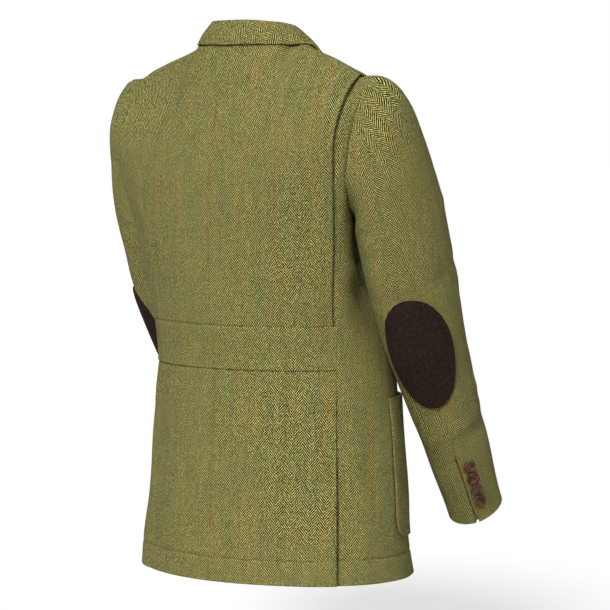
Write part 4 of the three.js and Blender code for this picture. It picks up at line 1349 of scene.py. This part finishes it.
@dataclass(frozen=True)
class Mottled:
    """A finish of two mottled colours with a fine height: felt, horn or thread."""

    name: str
    deep: tuple
    pale: tuple
    wide: float
    fine: float
    rough: tuple[float, float]
    sheen: float = 0.0
    depth: float = 0.0004
    gloss: float = 0.25

    def material(self, group: bpy.types.NodeTree) -> bpy.types.Material:
        """Makes the material.

        Args:
            group: The mottle node group.

        Returns:
            The material.
        """
        made, n, shader = new_material(self.name, self.sheen, 0.5)
        shader.inputs["Specular IOR Level"].default_value = self.gloss
        place = n.add("TexCoord")
        mottle = n.add("Group", {}, node_tree=group)
        mottle.inputs["Wide"].default_value = self.wide
        mottle.inputs["Fine"].default_value = self.fine
        n.tree.links.new(place.outputs["Object"], mottle.inputs["Place"])
        color = n.mix(mottle.outputs["Mask"], self.deep, self.pale)
        low, high = self.rough
        rough = n.math("MULTIPLY_ADD", mottle.outputs["Mask"], high - low, low)
        bump = n.add("Bump", {"Strength": 0.6, "Distance": self.depth, "Height": mottle.outputs["Height"]})
        n.tree.links.new(color, shader.inputs["Base Color"])
        n.tree.links.new(rough, shader.inputs["Roughness"])
        n.tree.links.new(bump.outputs[0], shader.inputs["Normal"])
        return made


FELT = Mottled("felt", linear(36, 23, 17), linear(54, 38, 30), 260.0, 1700.0, (0.9, 1.0), 0.0, 0.0005)
HORN = Mottled("horn", linear(58, 30, 18), linear(122, 76, 50), 130.0, 700.0, (0.28, 0.42), 0.0, 0.00005, 0.5)
OLIVE_THREAD = Mottled("olive_thread", linear(28, 26, 9), linear(50, 46, 19), 400.0, 3000.0, (0.7, 0.85))
BROWN_THREAD = Mottled("brown_thread", linear(40, 26, 20), linear(70, 50, 40), 400.0, 3000.0, (0.7, 0.85))


@dataclass
class Finishes:
    """All materials of the jacket."""

    tweed: bpy.types.Material
    felt: bpy.types.Material
    horn: bpy.types.Material
    olive_thread: bpy.types.Material
    brown_thread: bpy.types.Material

    @classmethod
    def make(cls) -> "Finishes":
        """Makes every material once, around one mottle group."""
        mottle = mottle_group()
        rest = [finish.material(mottle) for finish in (FELT, HORN, OLIVE_THREAD, BROWN_THREAD)]
        return cls(Tweed().material(), *rest)


# Sub-assemblies


SIDES = (("left", False), ("right", True))
HEM_GROOVE = 1.3


def hem_groove(z: Array) -> Array:
    """Depth of the dimpled line where the hem is caught: a bell curve round its level."""
    return HEM_GROOVE * np.exp(-(((z - HEM - HEM_DEPTH) / 1.9) ** 2))


def rows_between(*levels: float) -> Array:
    """Levels close together near each named one, without repeats."""
    parts = [spaced(a, b, abs(b - a)) for a, b in zip(levels[:-1], levels[1:])]
    return np.unique(np.round(np.concatenate(parts), 6))


@dataclass
class BackPieces:
    """Upper back with its folded pleats, strips below them, half belt and skirt."""

    half_width: float = 238.0
    vent_lift_from: float = 0.66
    vent_lift_to: float = 0.76
    vent_flare: float = 4.0
    strip_sink: float = 2.4

    def build(self, finishes: Finishes) -> None:
        """Makes the five kinds of back piece in order."""
        self.upper().build(finishes.tweed)
        for name, right in SIDES:
            self.strip(name, right).build(finishes.tweed)
        self.belt().build(finishes.tweed)
        self.skirt().build(finishes.tweed)

    def upper(self) -> Panel:
        """Upper back: the wall doubles where it is folded under at both pleats."""
        def low(u: Array, v: Array) -> Array:
            """The second layer under the fold, its edge eased."""
            return -LAYER * ease(TURN_UNDER - 0.006, TURN_UNDER + 0.006, np.abs(u))
        us = spaced(-1, 1, 2 * self.half_width)
        vs = np.concatenate((spaced(0, 1, 241)[:-5], spaced(1, 2, 150)[5:]))
        return Panel("back_upper", FORM.back, us, vs, low=low,
                     edges=(Edge.FREE, Edge.FREE, Edge.SEAM, Edge.SEAM),
                     origin=(0, 0), base=(0, BELT_TOP))

    def strip(self, name: str, right: bool) -> Panel:
        """Side-back strip, from under the pleat out to the side seam and the armhole.

        Across, it is a square Bezier curve from under the upper back, round its fold line, to the
        seam. Its outer edge follows the side-back seam up to row 1, then the armhole.
        """
        under = 2 * LAYER + STIFF_LIFT
        foot = BELT_TOP - ARM_ROWS_FROM

        def edge(row: Array) -> tuple[Array, Array]:
            """The outer edge and the way the wall stands there, row 0 to 2."""
            seam_row = np.where(row < 0.55, lerp(foot, 0, row / 0.55), (row - 0.55) / 0.45)
            seam_row = np.clip(seam_row, foot, 1)
            angle = lerp(BACK_FOOT, 450, np.clip(row - 1, 0, 1))
            on_seam = (row <= 1)[..., None]
            point = np.where(on_seam, FORM.side(np.zeros(row.shape), seam_row), FORM.armhole(angle))
            out = np.where(on_seam, FORM.seam_face(0, seam_row), FORM.armhole_face(angle))
            return point, out

        def point(w: Array, row: Array) -> Array:
            """The strip's surface."""
            outer, _ = edge(row)
            v = FORM.back_share(outer[..., 2])
            at_fold = np.full(v.shape, 0.9)
            hidden = FORM.back(at_fold, v) - face_at(FORM.back, at_fold, v) * under
            turn = (FORM.back(at_fold * 0 + 1.02, v)
                    - face_at(FORM.back, at_fold, v) * (under + 1))
            k = (1 - w)[..., None]
            w = w[..., None]
            return hidden * k * k + turn * (2 * w * k) + outer * w * w

        us = spaced(0, 1, 62)
        vs = np.unique(np.concatenate((spaced(0, 1, 200), spaced(1, 2, 165))))
        return Panel(f"back_strip_{name}", point, us, vs, right=right,
                     sunk=lambda w, row: self.strip_sink * ease(0.8, 0.45, w) * ease(0.04, 0.3, w),
                     shared={"u1": lambda row: edge(row)[1]}, origin=(1, 0), base=(-20, BELT_TOP))

    def lower(self, u: Array, z: Array) -> Array:
        """Belt and skirt: the body between the side-back seams, u from -1 to 1."""
        return FORM.body(u * FORM.seam_at["back"](z), z)

    def belt(self) -> Panel:
        """Half belt, its lower edge lying a little proud of the skirt."""
        us = spaced(-1, 1, 400)
        vs = spaced(BELT_BOTTOM, BELT_TOP, BELT_TOP - BELT_BOTTOM)
        return Panel("back_belt", self.lower, us, vs, origin=(0, BELT_BOTTOM), base=(0, BELT_BOTTOM + 18),
                     edges=(Edge.SEAM, Edge.SEAM, Edge.OVER, Edge.UNDER), rests_on=("back_upper",))

    def stand_off(self, u: Array, z: Array) -> Array:
        """How far the skirt stands off over the vents, a little more towards the hem."""
        flap = ease(0.7, 1, np.abs(u)) * ease(VENT_TOP, HEM, z) * self.vent_flare
        return flap + ((LAYER + STIFF_LIFT) * ease(self.vent_lift_from, self.vent_lift_to, np.abs(u))
                       * ease(VENT_TOP + 52, VENT_TOP + 2, z))

    def skirt(self) -> Panel:
        """Back skirt, lifted over both side panels below the vent tops, with its caught hem."""
        us = spaced(-1, 1, 400)
        vs = rows_between(HEM, HEM + HEM_DEPTH, VENT_TOP, BELT_BOTTOM)
        return Panel("back_skirt", self.lower, us, vs, low=self.stand_off,
                     edges=(Edge.FREE, Edge.FREE, Edge.FREE, Edge.UNDER), origin=(0, BELT_BOTTOM),
                     base=(0, BELT_BOTTOM), rests_on=("back_belt",), sunk=lambda u, z: hem_groove(z))


@dataclass
class SidePieces:
    """Side panels with the underlap of the vents, fronts, lapels and patch pockets."""

    underlap: float = 0.17
    lapel_spread: float = 26.5
    lapel_level: float = 0.5
    lapel_gorge: float = 0.74
    lapel_tip: float = 1.8
    lapel_roll: float = 3.0
    pocket_swell: float = 2.5

    def build(self, finishes: Finishes) -> None:
        """Makes both sides."""
        for name, right in SIDES:
            self.side_panel(name, right).build(finishes.tweed)
            self.front(name, right).build(finishes.tweed)
            self.lapel(name, right).build(finishes.tweed)
            self.pocket(name, right).build(finishes.tweed)

    def side_panel(self, name: str, right: bool) -> Panel:
        """Side panel: the form's side, running on under the skirt below the vent top."""
        def point(w: Array, row: Array) -> Array:
            """The side with its underlap."""
            z = np.minimum(row, 0) + ARM_ROWS_FROM
            below = 1 - ease(VENT_TOP - 5, VENT_TOP - 0.5, z)
            return FORM.side(w - self.underlap * below * (1 - w) ** 14, row)
        hem = HEM - ARM_ROWS_FROM
        rows = rows_between(hem, hem + HEM_DEPTH, VENT_TOP - ARM_ROWS_FROM, 0)
        vs = np.concatenate((rows[:-5], spaced(0, 1, 95)[5:]))
        us = spaced(0, 1, 150)
        return Panel(f"side_panel_{name}", point, us, vs, right=right,
                     shared={"u0": lambda row: FORM.seam_face(0, row),
                             "u1": lambda row: FORM.seam_face(1, row),
                             "v1": lambda w: FORM.armhole_face(lerp(BACK_FOOT, FRONT_FOOT, w))},
                     edges=(Edge.SEAM, Edge.SEAM, Edge.FREE, Edge.SEAM), origin=(0, 0),
                     base=(4, ARM_ROWS_FROM), sunk=self.vent_hollow)

    @staticmethod
    def vent_hollow(w: Array, row: Array) -> Array:
        """Depth of the hem's line, and of a hollow beside the vent that grows downward."""
        z = row + ARM_ROWS_FROM
        return hem_groove(z) + 6.5 * ease(0.28, 0.02, w) * ease(VENT_TOP - 10, HEM + 90, z)

    @staticmethod
    def lap_lift(x: Array, v: Array) -> Array:
        """How far the left front stands off where it lies over the right one."""
        return (LAYER + STIFF_LIFT) * ease(62, 30, x) * ease(2, -16, v)

    def front(self, name: str, right: bool) -> Panel:
        """A front, from the side-front seam to its free edge, its hem caught as the skirt's."""
        def low(u: Array, v: Array) -> Array:
            """Lift over the other front."""
            return np.zeros(u.shape) if right else self.lap_lift(FORM.front(u, v)[..., 0], v)

        def seam(v: Array) -> Array:
            """The way the wall stands at its side edge."""
            z = CHEST + v
            row = np.where(z <= ARM_ROWS_FROM, z - ARM_ROWS_FROM, (z - ARM_ROWS_FROM) / (CHEST - ARM_ROWS_FROM))
            low_way = FORM.seam_face(1, np.minimum(row, 1))
            high_way = FORM.armhole_face(lerp(FRONT_FOOT, 90, np.clip(v, 0, 1)))
            return np.where((v >= 0)[..., None], high_way, low_way)
        hem = HEM - CHEST
        low_rows = rows_between(hem, hem + HEM_DEPTH, 0)
        vs = np.concatenate((low_rows[:-5], spaced(0, 1, 190)[5:]))
        us = spaced(0, 1, 250)
        return Panel(f"front_{name}", FORM.front, us, vs, right=right, low=low, shared={"u0": seam},
                     edges=(Edge.SEAM, Edge.FREE, Edge.FREE, Edge.SEAM), origin=(1, BREAK - CHEST),
                     base=(0, BREAK), sunk=lambda u, v: hem_groove(np.minimum(v, 0) + CHEST))

    def lapel(self, name: str, right: bool) -> Panel:
        """A lapel on its front, from the roll line out to its edge and up to the notch."""
        start = -32.0 if right else BREAK - CHEST + 4
        yoke = TIP[2] - CHEST

        def climbed(v: Array) -> Array:
            """Height over the break."""
            return np.where(v < 0, v, v * yoke) - (BREAK - CHEST)

        def spot(w: Array, k: Array) -> tuple[Array, Array]:
            """Angle and level of the front below a point of the lapel."""
            height = lerp(start, lerp(self.lapel_gorge, self.lapel_level, w) * yoke, k)
            v = np.where(height < 0, height, height / yoke)
            reach = np.clip(climbed(v) / climbed(np.array(self.lapel_level)), 0, 1)
            outer = FORM.free_edge(v) - self.lapel_tip - self.lapel_spread * reach
            z = CHEST + np.minimum(v, 0)
            hidden = np.maximum(0, 4 - 2 * FORM.roll_x(z)) / FORM.body_at["half_x"](z) / RAD
            hidden = np.where(v < 0, hidden, 0) if right else 0
            return lerp(FORM.free_edge(v) - 0.6 - hidden, outer, w), v

        def low(w: Array, k: Array) -> Array:
            """Stands off its front, fullest along the middle."""
            rise = STIFF_LIFT * ease(0, 0.3, w) * ease(0, 0.2, k)
            angle, v = spot(w, k)
            lift = 0 if right else self.lap_lift(FORM.chest(angle, v)[..., 0], v)
            return LAYER + rise + lift + self.lapel_roll * np.sin(math.pi * w) * ease(0, 0.3, k)

        return Panel(f"lapel_{name}", lambda w, k: FORM.chest(*spot(w, k)), spaced(0, 1, 80),
                     spaced(0, 1, 210), turn=-1, right=right, low=low,
                     face=lambda w, k: face_at(FORM.chest, *spot(w, k)), edges=(Edge.FREE,) * 4,
                     grain=8, origin=(0, 0), base=(9, 20), rests_on=(f"front_{name}",), held="folded")

    def pocket(self, name: str, right: bool) -> Panel:
        """Patch pocket: a band of the body moved out, its lower corners quarter circles."""
        def point(a: Array, v: Array) -> Array:
            """The body below the pocket."""
            z = lerp(POCKET_BOTTOM, POCKET_TOP, v)
            up = np.minimum(POCKET_CORNER, z - POCKET_BOTTOM)
            cut = POCKET_CORNER - np.sqrt(np.maximum(POCKET_CORNER**2 - (POCKET_CORNER - up) ** 2, 0))
            half = (POCKET_FRONT - POCKET_BACK) / 2 - cut / 3.1
            return FORM.body((POCKET_BACK + POCKET_FRONT) / 2 + a * half, z)

        def low(a: Array, v: Array) -> Array:
            """Stands off the body, fullest in the middle."""
            return LAYER + STIFF_LIFT + self.pocket_swell * (1 - a * a) * ease(0, 0.25, v)

        corner = POCKET_CORNER / (POCKET_TOP - POCKET_BOTTOM)
        bend = corner * (1 - cosine(np.linspace(8, 90, 14)))
        vs = np.concatenate((bend, spaced(corner, 1, 168)[4:]))
        return Panel(f"pocket_{name}", point, spaced(-1, 1, 185), vs, right=right, low=low,
                     thick=2.4, edges=(Edge.FREE,) * 4, origin=(0, 0.5), base=(14, 33),
                     rests_on=(f"front_{name}", f"side_panel_{name}"), held="laid")


@dataclass
class SleevePieces:
    """Sleeves of two pieces with a buttoned cuff vent, and elbow patches."""

    vent_raise: float = 0.7
    vent_open: float = 3.2
    vent_groove: float = 3.4

    def build(self, finishes: Finishes) -> None:
        """Makes both sleeves and their patches."""
        for name, right in SIDES:
            self.half(f"sleeve_top_{name}", HIND_SEAM, FORE_SEAM, 0.0, right).build(finishes.tweed)
            self.half(f"sleeve_under_{name}", FORE_SEAM, HIND_SEAM + 360, CUFF_UNDERLAP, right
                      ).build(finishes.tweed)
            self.patch(name, right).build(finishes.felt)

    def vent_lift(self, angle: Array, s: Array) -> Array:
        """How far the top sleeve is raised along the cuff vent."""
        top = 1 - CUFF_VENT / FORM.sleeve_length
        return self.vent_raise * ease(HIND_SEAM + 16, HIND_SEAM, angle) * ease(top - 0.02, top + 0.03, s)

    def half(self, node: str, start: float, stop: float, underlap: float, right: bool) -> Panel:
        """Top or under sleeve between its seams; underlap tucks it in at the cuff vent."""
        vent_top = 1 - CUFF_VENT / FORM.sleeve_length
        sunk, tucked = vent_top + 0.015, vent_top + 0.03

        def near_edge(angle: Array) -> Array:
            """1 at the vent edge, falling fast away from it."""
            return ((angle - start) / (stop - start)) ** 12

        def lapped(angle: Array, s: Array) -> Array:
            """The angle, run on below the other piece at the vent."""
            return angle + underlap * near_edge(angle) * ease(sunk, tucked, s)

        def point(angle: Array, s: Array) -> Array:
            """The sleeve, its top piece opening a little at the hem of the vent."""
            opened = 0 if underlap else self.vent_open * ease(start + 16, start, angle) * ease(0.93, 1, s)
            return FORM.sleeve(lapped(angle, s) + opened, s)

        def low(angle: Array, s: Array) -> Array:
            """Sunk by one layer where it lies below, a little raised where it lies on top."""
            if underlap:
                drop = LAYER + SINK + self.vent_groove
                return -drop * ease(stop - 3, stop + 0.4, lapped(angle, s)) * ease(vent_top, sunk, s)
            return self.vent_lift(angle, s)

        head = spaced(-1, 0, 190)
        length = FORM.sleeve_length
        vs = np.concatenate((head[:-5], rows_between(0, vent_top * length, length)[5:] / length))
        vs = np.unique(np.concatenate((vs, [vent_top, sunk, tucked])))
        near = np.linspace(0, 16, 33)
        near = stop - near if underlap else start + near
        us = np.unique(np.concatenate((spaced(start, stop, (stop - start) * 1.15), near)))
        vent = Edge.SEAM
        return Panel(node, point, us, vs, turn=-1, right=right, low=low,
                     shared={"v0": FORM.armhole_face}, edges=(vent, vent, Edge.SEAM, Edge.FREE),
                     origin=(120 if not underlap else 320, 0), base=(5, -262))

    def patch(self, name: str, right: bool) -> Panel:
        """Elbow patch: a square of parameters eased to a disc, egg-shaped, round the sleeve."""
        def spot(a: Array, b: Array) -> tuple[Array, Array]:
            """Angle and share of the sleeve below a point of the patch."""
            x = a * np.sqrt(1 - b * b / 2)
            y = b * np.sqrt(1 - a * a / 2)
            k = PATCH_CENTRE + y * PATCH_ALONG / FORM.sleeve_length
            girth = (FORM.sleeve_at["half_x"](k) + FORM.sleeve_at["half_n"](k)) / 2
            half = PATCH_ACROSS * (1 - PATCH_NARROWING * y)
            return HIND_SEAM + PATCH_TURN + x * half / girth / RAD, k

        grid = spaced(-1, 1, 130, 3.0)
        return Panel(f"elbow_patch_{name}", lambda a, b: FORM.tube(*spot(a, b)), grid, grid, turn=-1,
                     right=right, low=lambda a, b: np.full(np.shape(a), CLOTH + 0.45), thick=2.2,
                     face=lambda a, b: face_at(FORM.tube, *spot(a, b), -1), edges=(Edge.FREE,) * 4,
                     slot=Slot.FELT, held="laid", origin=(0, 0),
                     rests_on=(f"sleeve_top_{name}", f"sleeve_under_{name}"))


@dataclass
class CollarPiece:
    """The collar, stand and fall in one."""

    grain: float = 24.0

    def build(self, finishes: Finishes) -> None:
        """Makes the collar."""
        last = len(COLLAR["neck"]) - 1
        us = spaced(-last, last, 430, 3.6)
        vs = spaced(0, 1, 78, 2.4)
        Panel("collar", FORM.collar, us, vs, turn=-1, low=lambda s, k: np.full(s.shape, -CLOTH / 2),
              edges=(Edge.FREE, Edge.FREE, Edge.SEAM, Edge.FREE), grain=self.grain, origin=(0, 0),
              held="folded", rests_on=("back_upper",)).build(finishes.tweed)


@dataclass
class Buttons:
    """Horn buttons with a raised rim, four holes and two parallel stitches of thread."""

    front_radius: float = 10.5
    front_thick: float = 4.2
    cuff_radius: float = 9.5
    cuff_thick: float = 3.6
    cuff_pitch: float = 20.2
    cuff_first: float = 36.0
    cuff_from: float = 17.0
    hole_place: float = 0.2
    hole_size: float = 0.085

    def build(self, finishes: Finishes) -> None:
        """Makes and seats all buttons."""
        for name, right in SIDES:
            mirror = np.array((-1.0, 1.0, 1.0)) if right else np.ones(3)
            for i in range(4):
                k = 1 - (self.cuff_first + i * self.cuff_pitch) / FORM.sleeve_length
                angle = HIND_SEAM + self.cuff_from
                face = face_at(FORM.tube, np.array(angle), np.array(k), -1)
                spot = FORM.tube(angle, k)
                spot = spot + face * (CLOTH + SEAM_GAP + drape((spot * mirror)[None])[0])
                down = unit(FORM.tube(angle, k + 0.01) - FORM.tube(angle, k))
                self.button(f"cuff_{name}_{i + 1}", spot * mirror, face * mirror, down * mirror,
                            self.cuff_radius, self.cuff_thick, finishes)
        for i in range(3):
            z = BUTTON_TOP - i * BUTTON_PITCH
            face = face_at(FORM.body, np.array(180.0), np.array(z))
            spot = FORM.body(180, z)
            spot = spot + face * (LAYER + STIFF_LIFT + LAYER + drape(spot[None])[0])
            self.button(f"front_{i + 1}", spot, face, np.array((0, 0, -1.0)), self.front_radius,
                        self.front_thick, finishes)

    def button(self, name: str, spot: Array, face: Array, down: Array, radius: float, thick: float,
               finishes: Finishes) -> None:
        """Makes one button and its thread.

        The face is a polar grid: a table of radius and height, sunk by four round bell curves at
        the holes. The back is flat.

        Args:
            name: Name after the word button.
            spot: Middle of its back.
            face: The way it looks.
            down: A direction along the cloth.
            radius: Its radius.
            thick: Its thickness.
            finishes: All materials.
        """
        profile = {"r": (0.02, 0.5, 0.62, 0.74, 0.84, 0.93, 0.985, 1, 0.97, 0.84, 0.02),
                   "h": (0.62, 0.64, 0.74, 0.97, 1, 0.93, 0.72, 0.5, 0.22, 0, 0)}
        places = np.arange(len(profile["r"]))
        t = np.linspace(0, places[-1], 64)
        r, h = Curve(places, profile["r"])(t) * radius, Curve(places, profile["h"])(t) * thick
        turn = np.arange(48) / 48 * 2 * math.pi
        x, y = r[:, None] * np.cos(turn), r[:, None] * np.sin(turn)
        face_side = ease(7.5, 6.5, t)[:, None]
        pit = sum(np.exp(-(((x - a * radius) ** 2 + (y - b * radius) ** 2)
                           / (self.hole_size * radius) ** 2) ** 2)
                  for a in (-self.hole_place, self.hole_place) for b in (-self.hole_place, self.hole_place))
        z = h[:, None] - 0.5 * thick * np.minimum(pit, 1) * face_side
        x_way = unit(np.cross(down, face))
        y_way = np.cross(face, x_way)
        points = spot + x[..., None] * x_way + y[..., None] * y_way + z[..., None] * face
        count, round_count = x.shape
        i, j = np.meshgrid(np.arange(count - 1), np.arange(round_count), indexing="ij")
        a, b = i * round_count + j, i * round_count + (j + 1) % round_count
        faces = np.stack([a, a + round_count, b + round_count, b], -1).reshape(-1, 4)
        ring = np.arange(round_count // 2 - 1)
        fan = np.stack([ring, ring + 1, round_count - 2 - ring, round_count - 1 - ring], 1)
        far = fan[:, ::-1] + (count - 1) * round_count
        faces = np.concatenate([faces, fan, far])
        obj = make_object(f"horn_button_{name}", points.reshape(-1, 3), faces, finishes.horn)
        if signed_volume(obj.data) < 0:
            obj.data.flip_normals()
        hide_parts(f"button_{name}")
        thread = Thread(pitch=99, length=2 * self.hole_place * radius * 1.1, radius=0.45, bow=0.7)
        sewn = Sewing(f"button_thread_{name}", finishes.olive_thread, Slot.TWEED)
        reach = self.hole_place * radius
        for side in (-1, 1):
            ends = np.array([[side * reach, -reach * 1.1], [side * reach, reach * 1.1]])
            path = spot + ends[:, :1] * x_way + ends[:, 1:] * y_way + face * thick * 0.6
            grains, quads = thread.grains(path, np.tile(face, (2, 1)))
            sewn.faces.append(quads + sum(len(p) for p in sewn.vertices))
            sewn.vertices.append(grains)
        sewn.finish()


@dataclass
class Stitching:
    """All sewing that shows: hem, vent bars, cuff vents and patches."""

    inset: float = 3.2

    def build(self, finishes: Finishes) -> None:
        """Makes one piece of olive stitches and one of brown ones."""
        olive = Sewing("stitches_olive", finishes.olive_thread, Slot.TWEED)
        fine = Thread(pitch=5.5, length=1.9, radius=0.32, bow=0.1)
        seen = Thread()
        level = HEM + HEM_DEPTH
        back = FORM.seam_at["back"](level)
        front = FORM.seam_at["front"](level)
        many = 160
        lift = CLOTH - HEM_GROOVE
        span = np.linspace(-back + 1.2, back - 1.2, many)
        pieces, sides, sleeves = BackPieces(), SidePieces(), SleevePieces()
        olive.row(FORM.body, (span, np.full(many, level)), lift + pieces.stand_off(span / back, level), fine)
        for name, right in SIDES:
            around = np.linspace(float(back) + 1, float(front) - 1, many)
            hollow = sides.vent_hollow((around - back) / (front - back), level - ARM_ROWS_FROM)
            olive.row(FORM.body, (around, np.full(many, level)), CLOTH - hollow, fine, right=right)
            edge = float(FORM.free_edge(np.array(level - CHEST)))
            around = np.linspace(float(front) + 1, edge - 2, many)
            x = FORM.body(around, np.full(many, level))[..., 0]
            lap = 0 if right else sides.lap_lift(x, level - CHEST)
            olive.row(FORM.body, (around, np.full(many, level)), lift + lap, fine, right=right)
            bar = np.linspace(0, 1, 20)
            z = lerp(VENT_TOP - 8, VENT_TOP - 2, bar)
            angle = lerp(46.0, FORM.seam_at["back"](z) - 0.6, bar)
            stand = pieces.stand_off(angle / FORM.seam_at["back"](z), z)
            olive.row(FORM.body, (angle, z), CLOTH + stand, seen, right=right)
            vent = np.linspace(1 - (CUFF_VENT - 4) / FORM.sleeve_length, 0.985, 40)
            beside = np.full(40, HIND_SEAM + 4.5)
            olive.row(FORM.tube, (beside, vent), CLOTH + sleeves.vent_lift(beside, vent), seen, -1, right)
        olive.finish()
        brown = Sewing("stitches_brown", finishes.brown_thread, Slot.FELT)
        for _, right in SIDES:
            t = np.linspace(0, 2 * math.pi, 120)
            inside = 1 - self.inset / 50
            x, y = np.cos(t) * inside, np.sin(t) * inside
            k = PATCH_CENTRE + y * PATCH_ALONG / FORM.sleeve_length
            girth = (FORM.sleeve_at["half_x"](k) + FORM.sleeve_at["half_n"](k)) / 2
            half = PATCH_ACROSS * (1 - PATCH_NARROWING * y)
            angle = HIND_SEAM + PATCH_TURN + x * half / girth / RAD
            brown.row(FORM.tube, (angle, k), CLOTH + 0.45 + 2.2, Thread(3.4, 2.4, 0.32, 0.2), -1, right)
        brown.finish()


# The studio


@dataclass(frozen=True)
class Studio:
    """Plain pale floor, soft lights and the camera."""

    azimuth: float = 40.0
    distance: float = 4074.0
    camera_z: float = -92.0
    focal_px: float = 2863.0
    picture: float = 610.0
    level_x: float = 252.0
    level_y: float = 110.0
    sensor: float = 36.0
    floor_z: float = -960.0
    floor_shade: float = 0.5
    floor_glow: float = 0.62
    ambient: float = 0.2
    key: float = 2.75
    fill: float = 0.25

    def build(self) -> None:
        """Makes everything that isn't part of the jacket."""
        self.camera()
        self.floor()
        self.lights()

    def axes(self) -> tuple[Vector, Vector]:
        """The way from the object to the camera, and picture right."""
        a = self.azimuth * RAD
        return Vector((-math.sin(a), math.cos(a), 0)), Vector((-math.cos(a), -math.sin(a), 0))

    def camera(self) -> None:
        """Camera level with the shoulders, aimed at the middle of the picture."""
        toward, right = self.axes()
        data = bpy.data.cameras.new("camera")
        data.sensor_width = self.sensor
        data.lens = self.focal_px / self.picture * self.sensor
        data.clip_end = 200
        camera = bpy.data.objects.new("camera", data)
        bpy.context.scene.collection.objects.link(camera)
        camera.location = (toward * self.distance + Vector((0, 0, self.camera_z))) * MM
        half = self.picture / 2
        aim = (-toward * self.focal_px + right * (half - self.level_x)
               + Vector((0, 0, 1)) * (self.level_y - half))
        camera.rotation_euler = aim.to_track_quat("-Z", "Y").to_euler()
        bpy.context.scene.camera = camera

    def floor(self) -> None:
        """A wide floor that looks nearly white and throws little light back up."""
        made, n, shader = new_material("floor", 0.0, 0.5, 0.9)
        shader.inputs["Base Color"].default_value = (self.floor_shade,) * 3 + (1,)
        shader.inputs["Emission Color"].default_value = (1, 1, 1, 1)
        seen = n.math("MULTIPLY", n.add("LightPath").outputs["Is Camera Ray"], self.floor_glow)
        n.tree.links.new(seen, shader.inputs["Emission Strength"])
        size = 80000.0
        corners = np.array([[-1, -1, 0], [1, -1, 0], [1, 1, 0], [-1, 1, 0]]) * size
        mesh = bpy.data.meshes.new("floor")
        mesh.from_pydata(((corners + np.array((0, 0, self.floor_z))) * MM).tolist(), [], [(0, 1, 2, 3)])
        mesh.materials.append(made)
        floor = bpy.data.objects.new("floor", mesh)
        bpy.context.scene.collection.objects.link(floor)

    def lights(self) -> None:
        """A white backdrop that lights softly, a wide key over picture-left and a fill at right."""
        world = bpy.data.worlds.new("studio")
        world.use_nodes = True
        n = Nodes(world.node_tree)
        path = n.add("LightPath")
        seen = n.math("MULTIPLY_ADD", path.outputs["Is Camera Ray"], 1.0 - self.ambient, self.ambient)
        world.node_tree.links.new(seen, world.node_tree.nodes["Background"].inputs[1])
        world.node_tree.nodes["Background"].inputs[0].default_value = (1, 1, 1, 1)
        bpy.context.scene.world = world
        bpy.context.scene.view_settings.view_transform = "Standard"
        toward, right = self.axes()
        up = Vector((0, 0, 1))
        for name, way, power, angle in (
            ("key", toward * 0.92 - right * 0.3 + up * 0.74, self.key, 14),
            ("fill", toward * 0.6 + right * 0.6 + up * 0.9, self.fill, 50),
        ):
            data = bpy.data.lights.new(name, "SUN")
            data.energy, data.angle = power, angle * RAD
            light = bpy.data.objects.new(name, data)
            bpy.context.scene.collection.objects.link(light)
            light.rotation_euler = (-way).to_track_quat("-Z", "Y").to_euler()


def main() -> None:
    """Builds the jacket's classes in order, then the studio."""
    logging.basicConfig(level=logging.INFO, format="%(message)s")
    finishes = Finishes.make()
    for part in (BackPieces(), SidePieces(), SleevePieces(), CollarPiece(), Buttons(), Stitching()):
        part.build(finishes)
        LOG.info("%s done", type(part).__name__)
    Studio().build()


if __name__ == "__main__":
    main()
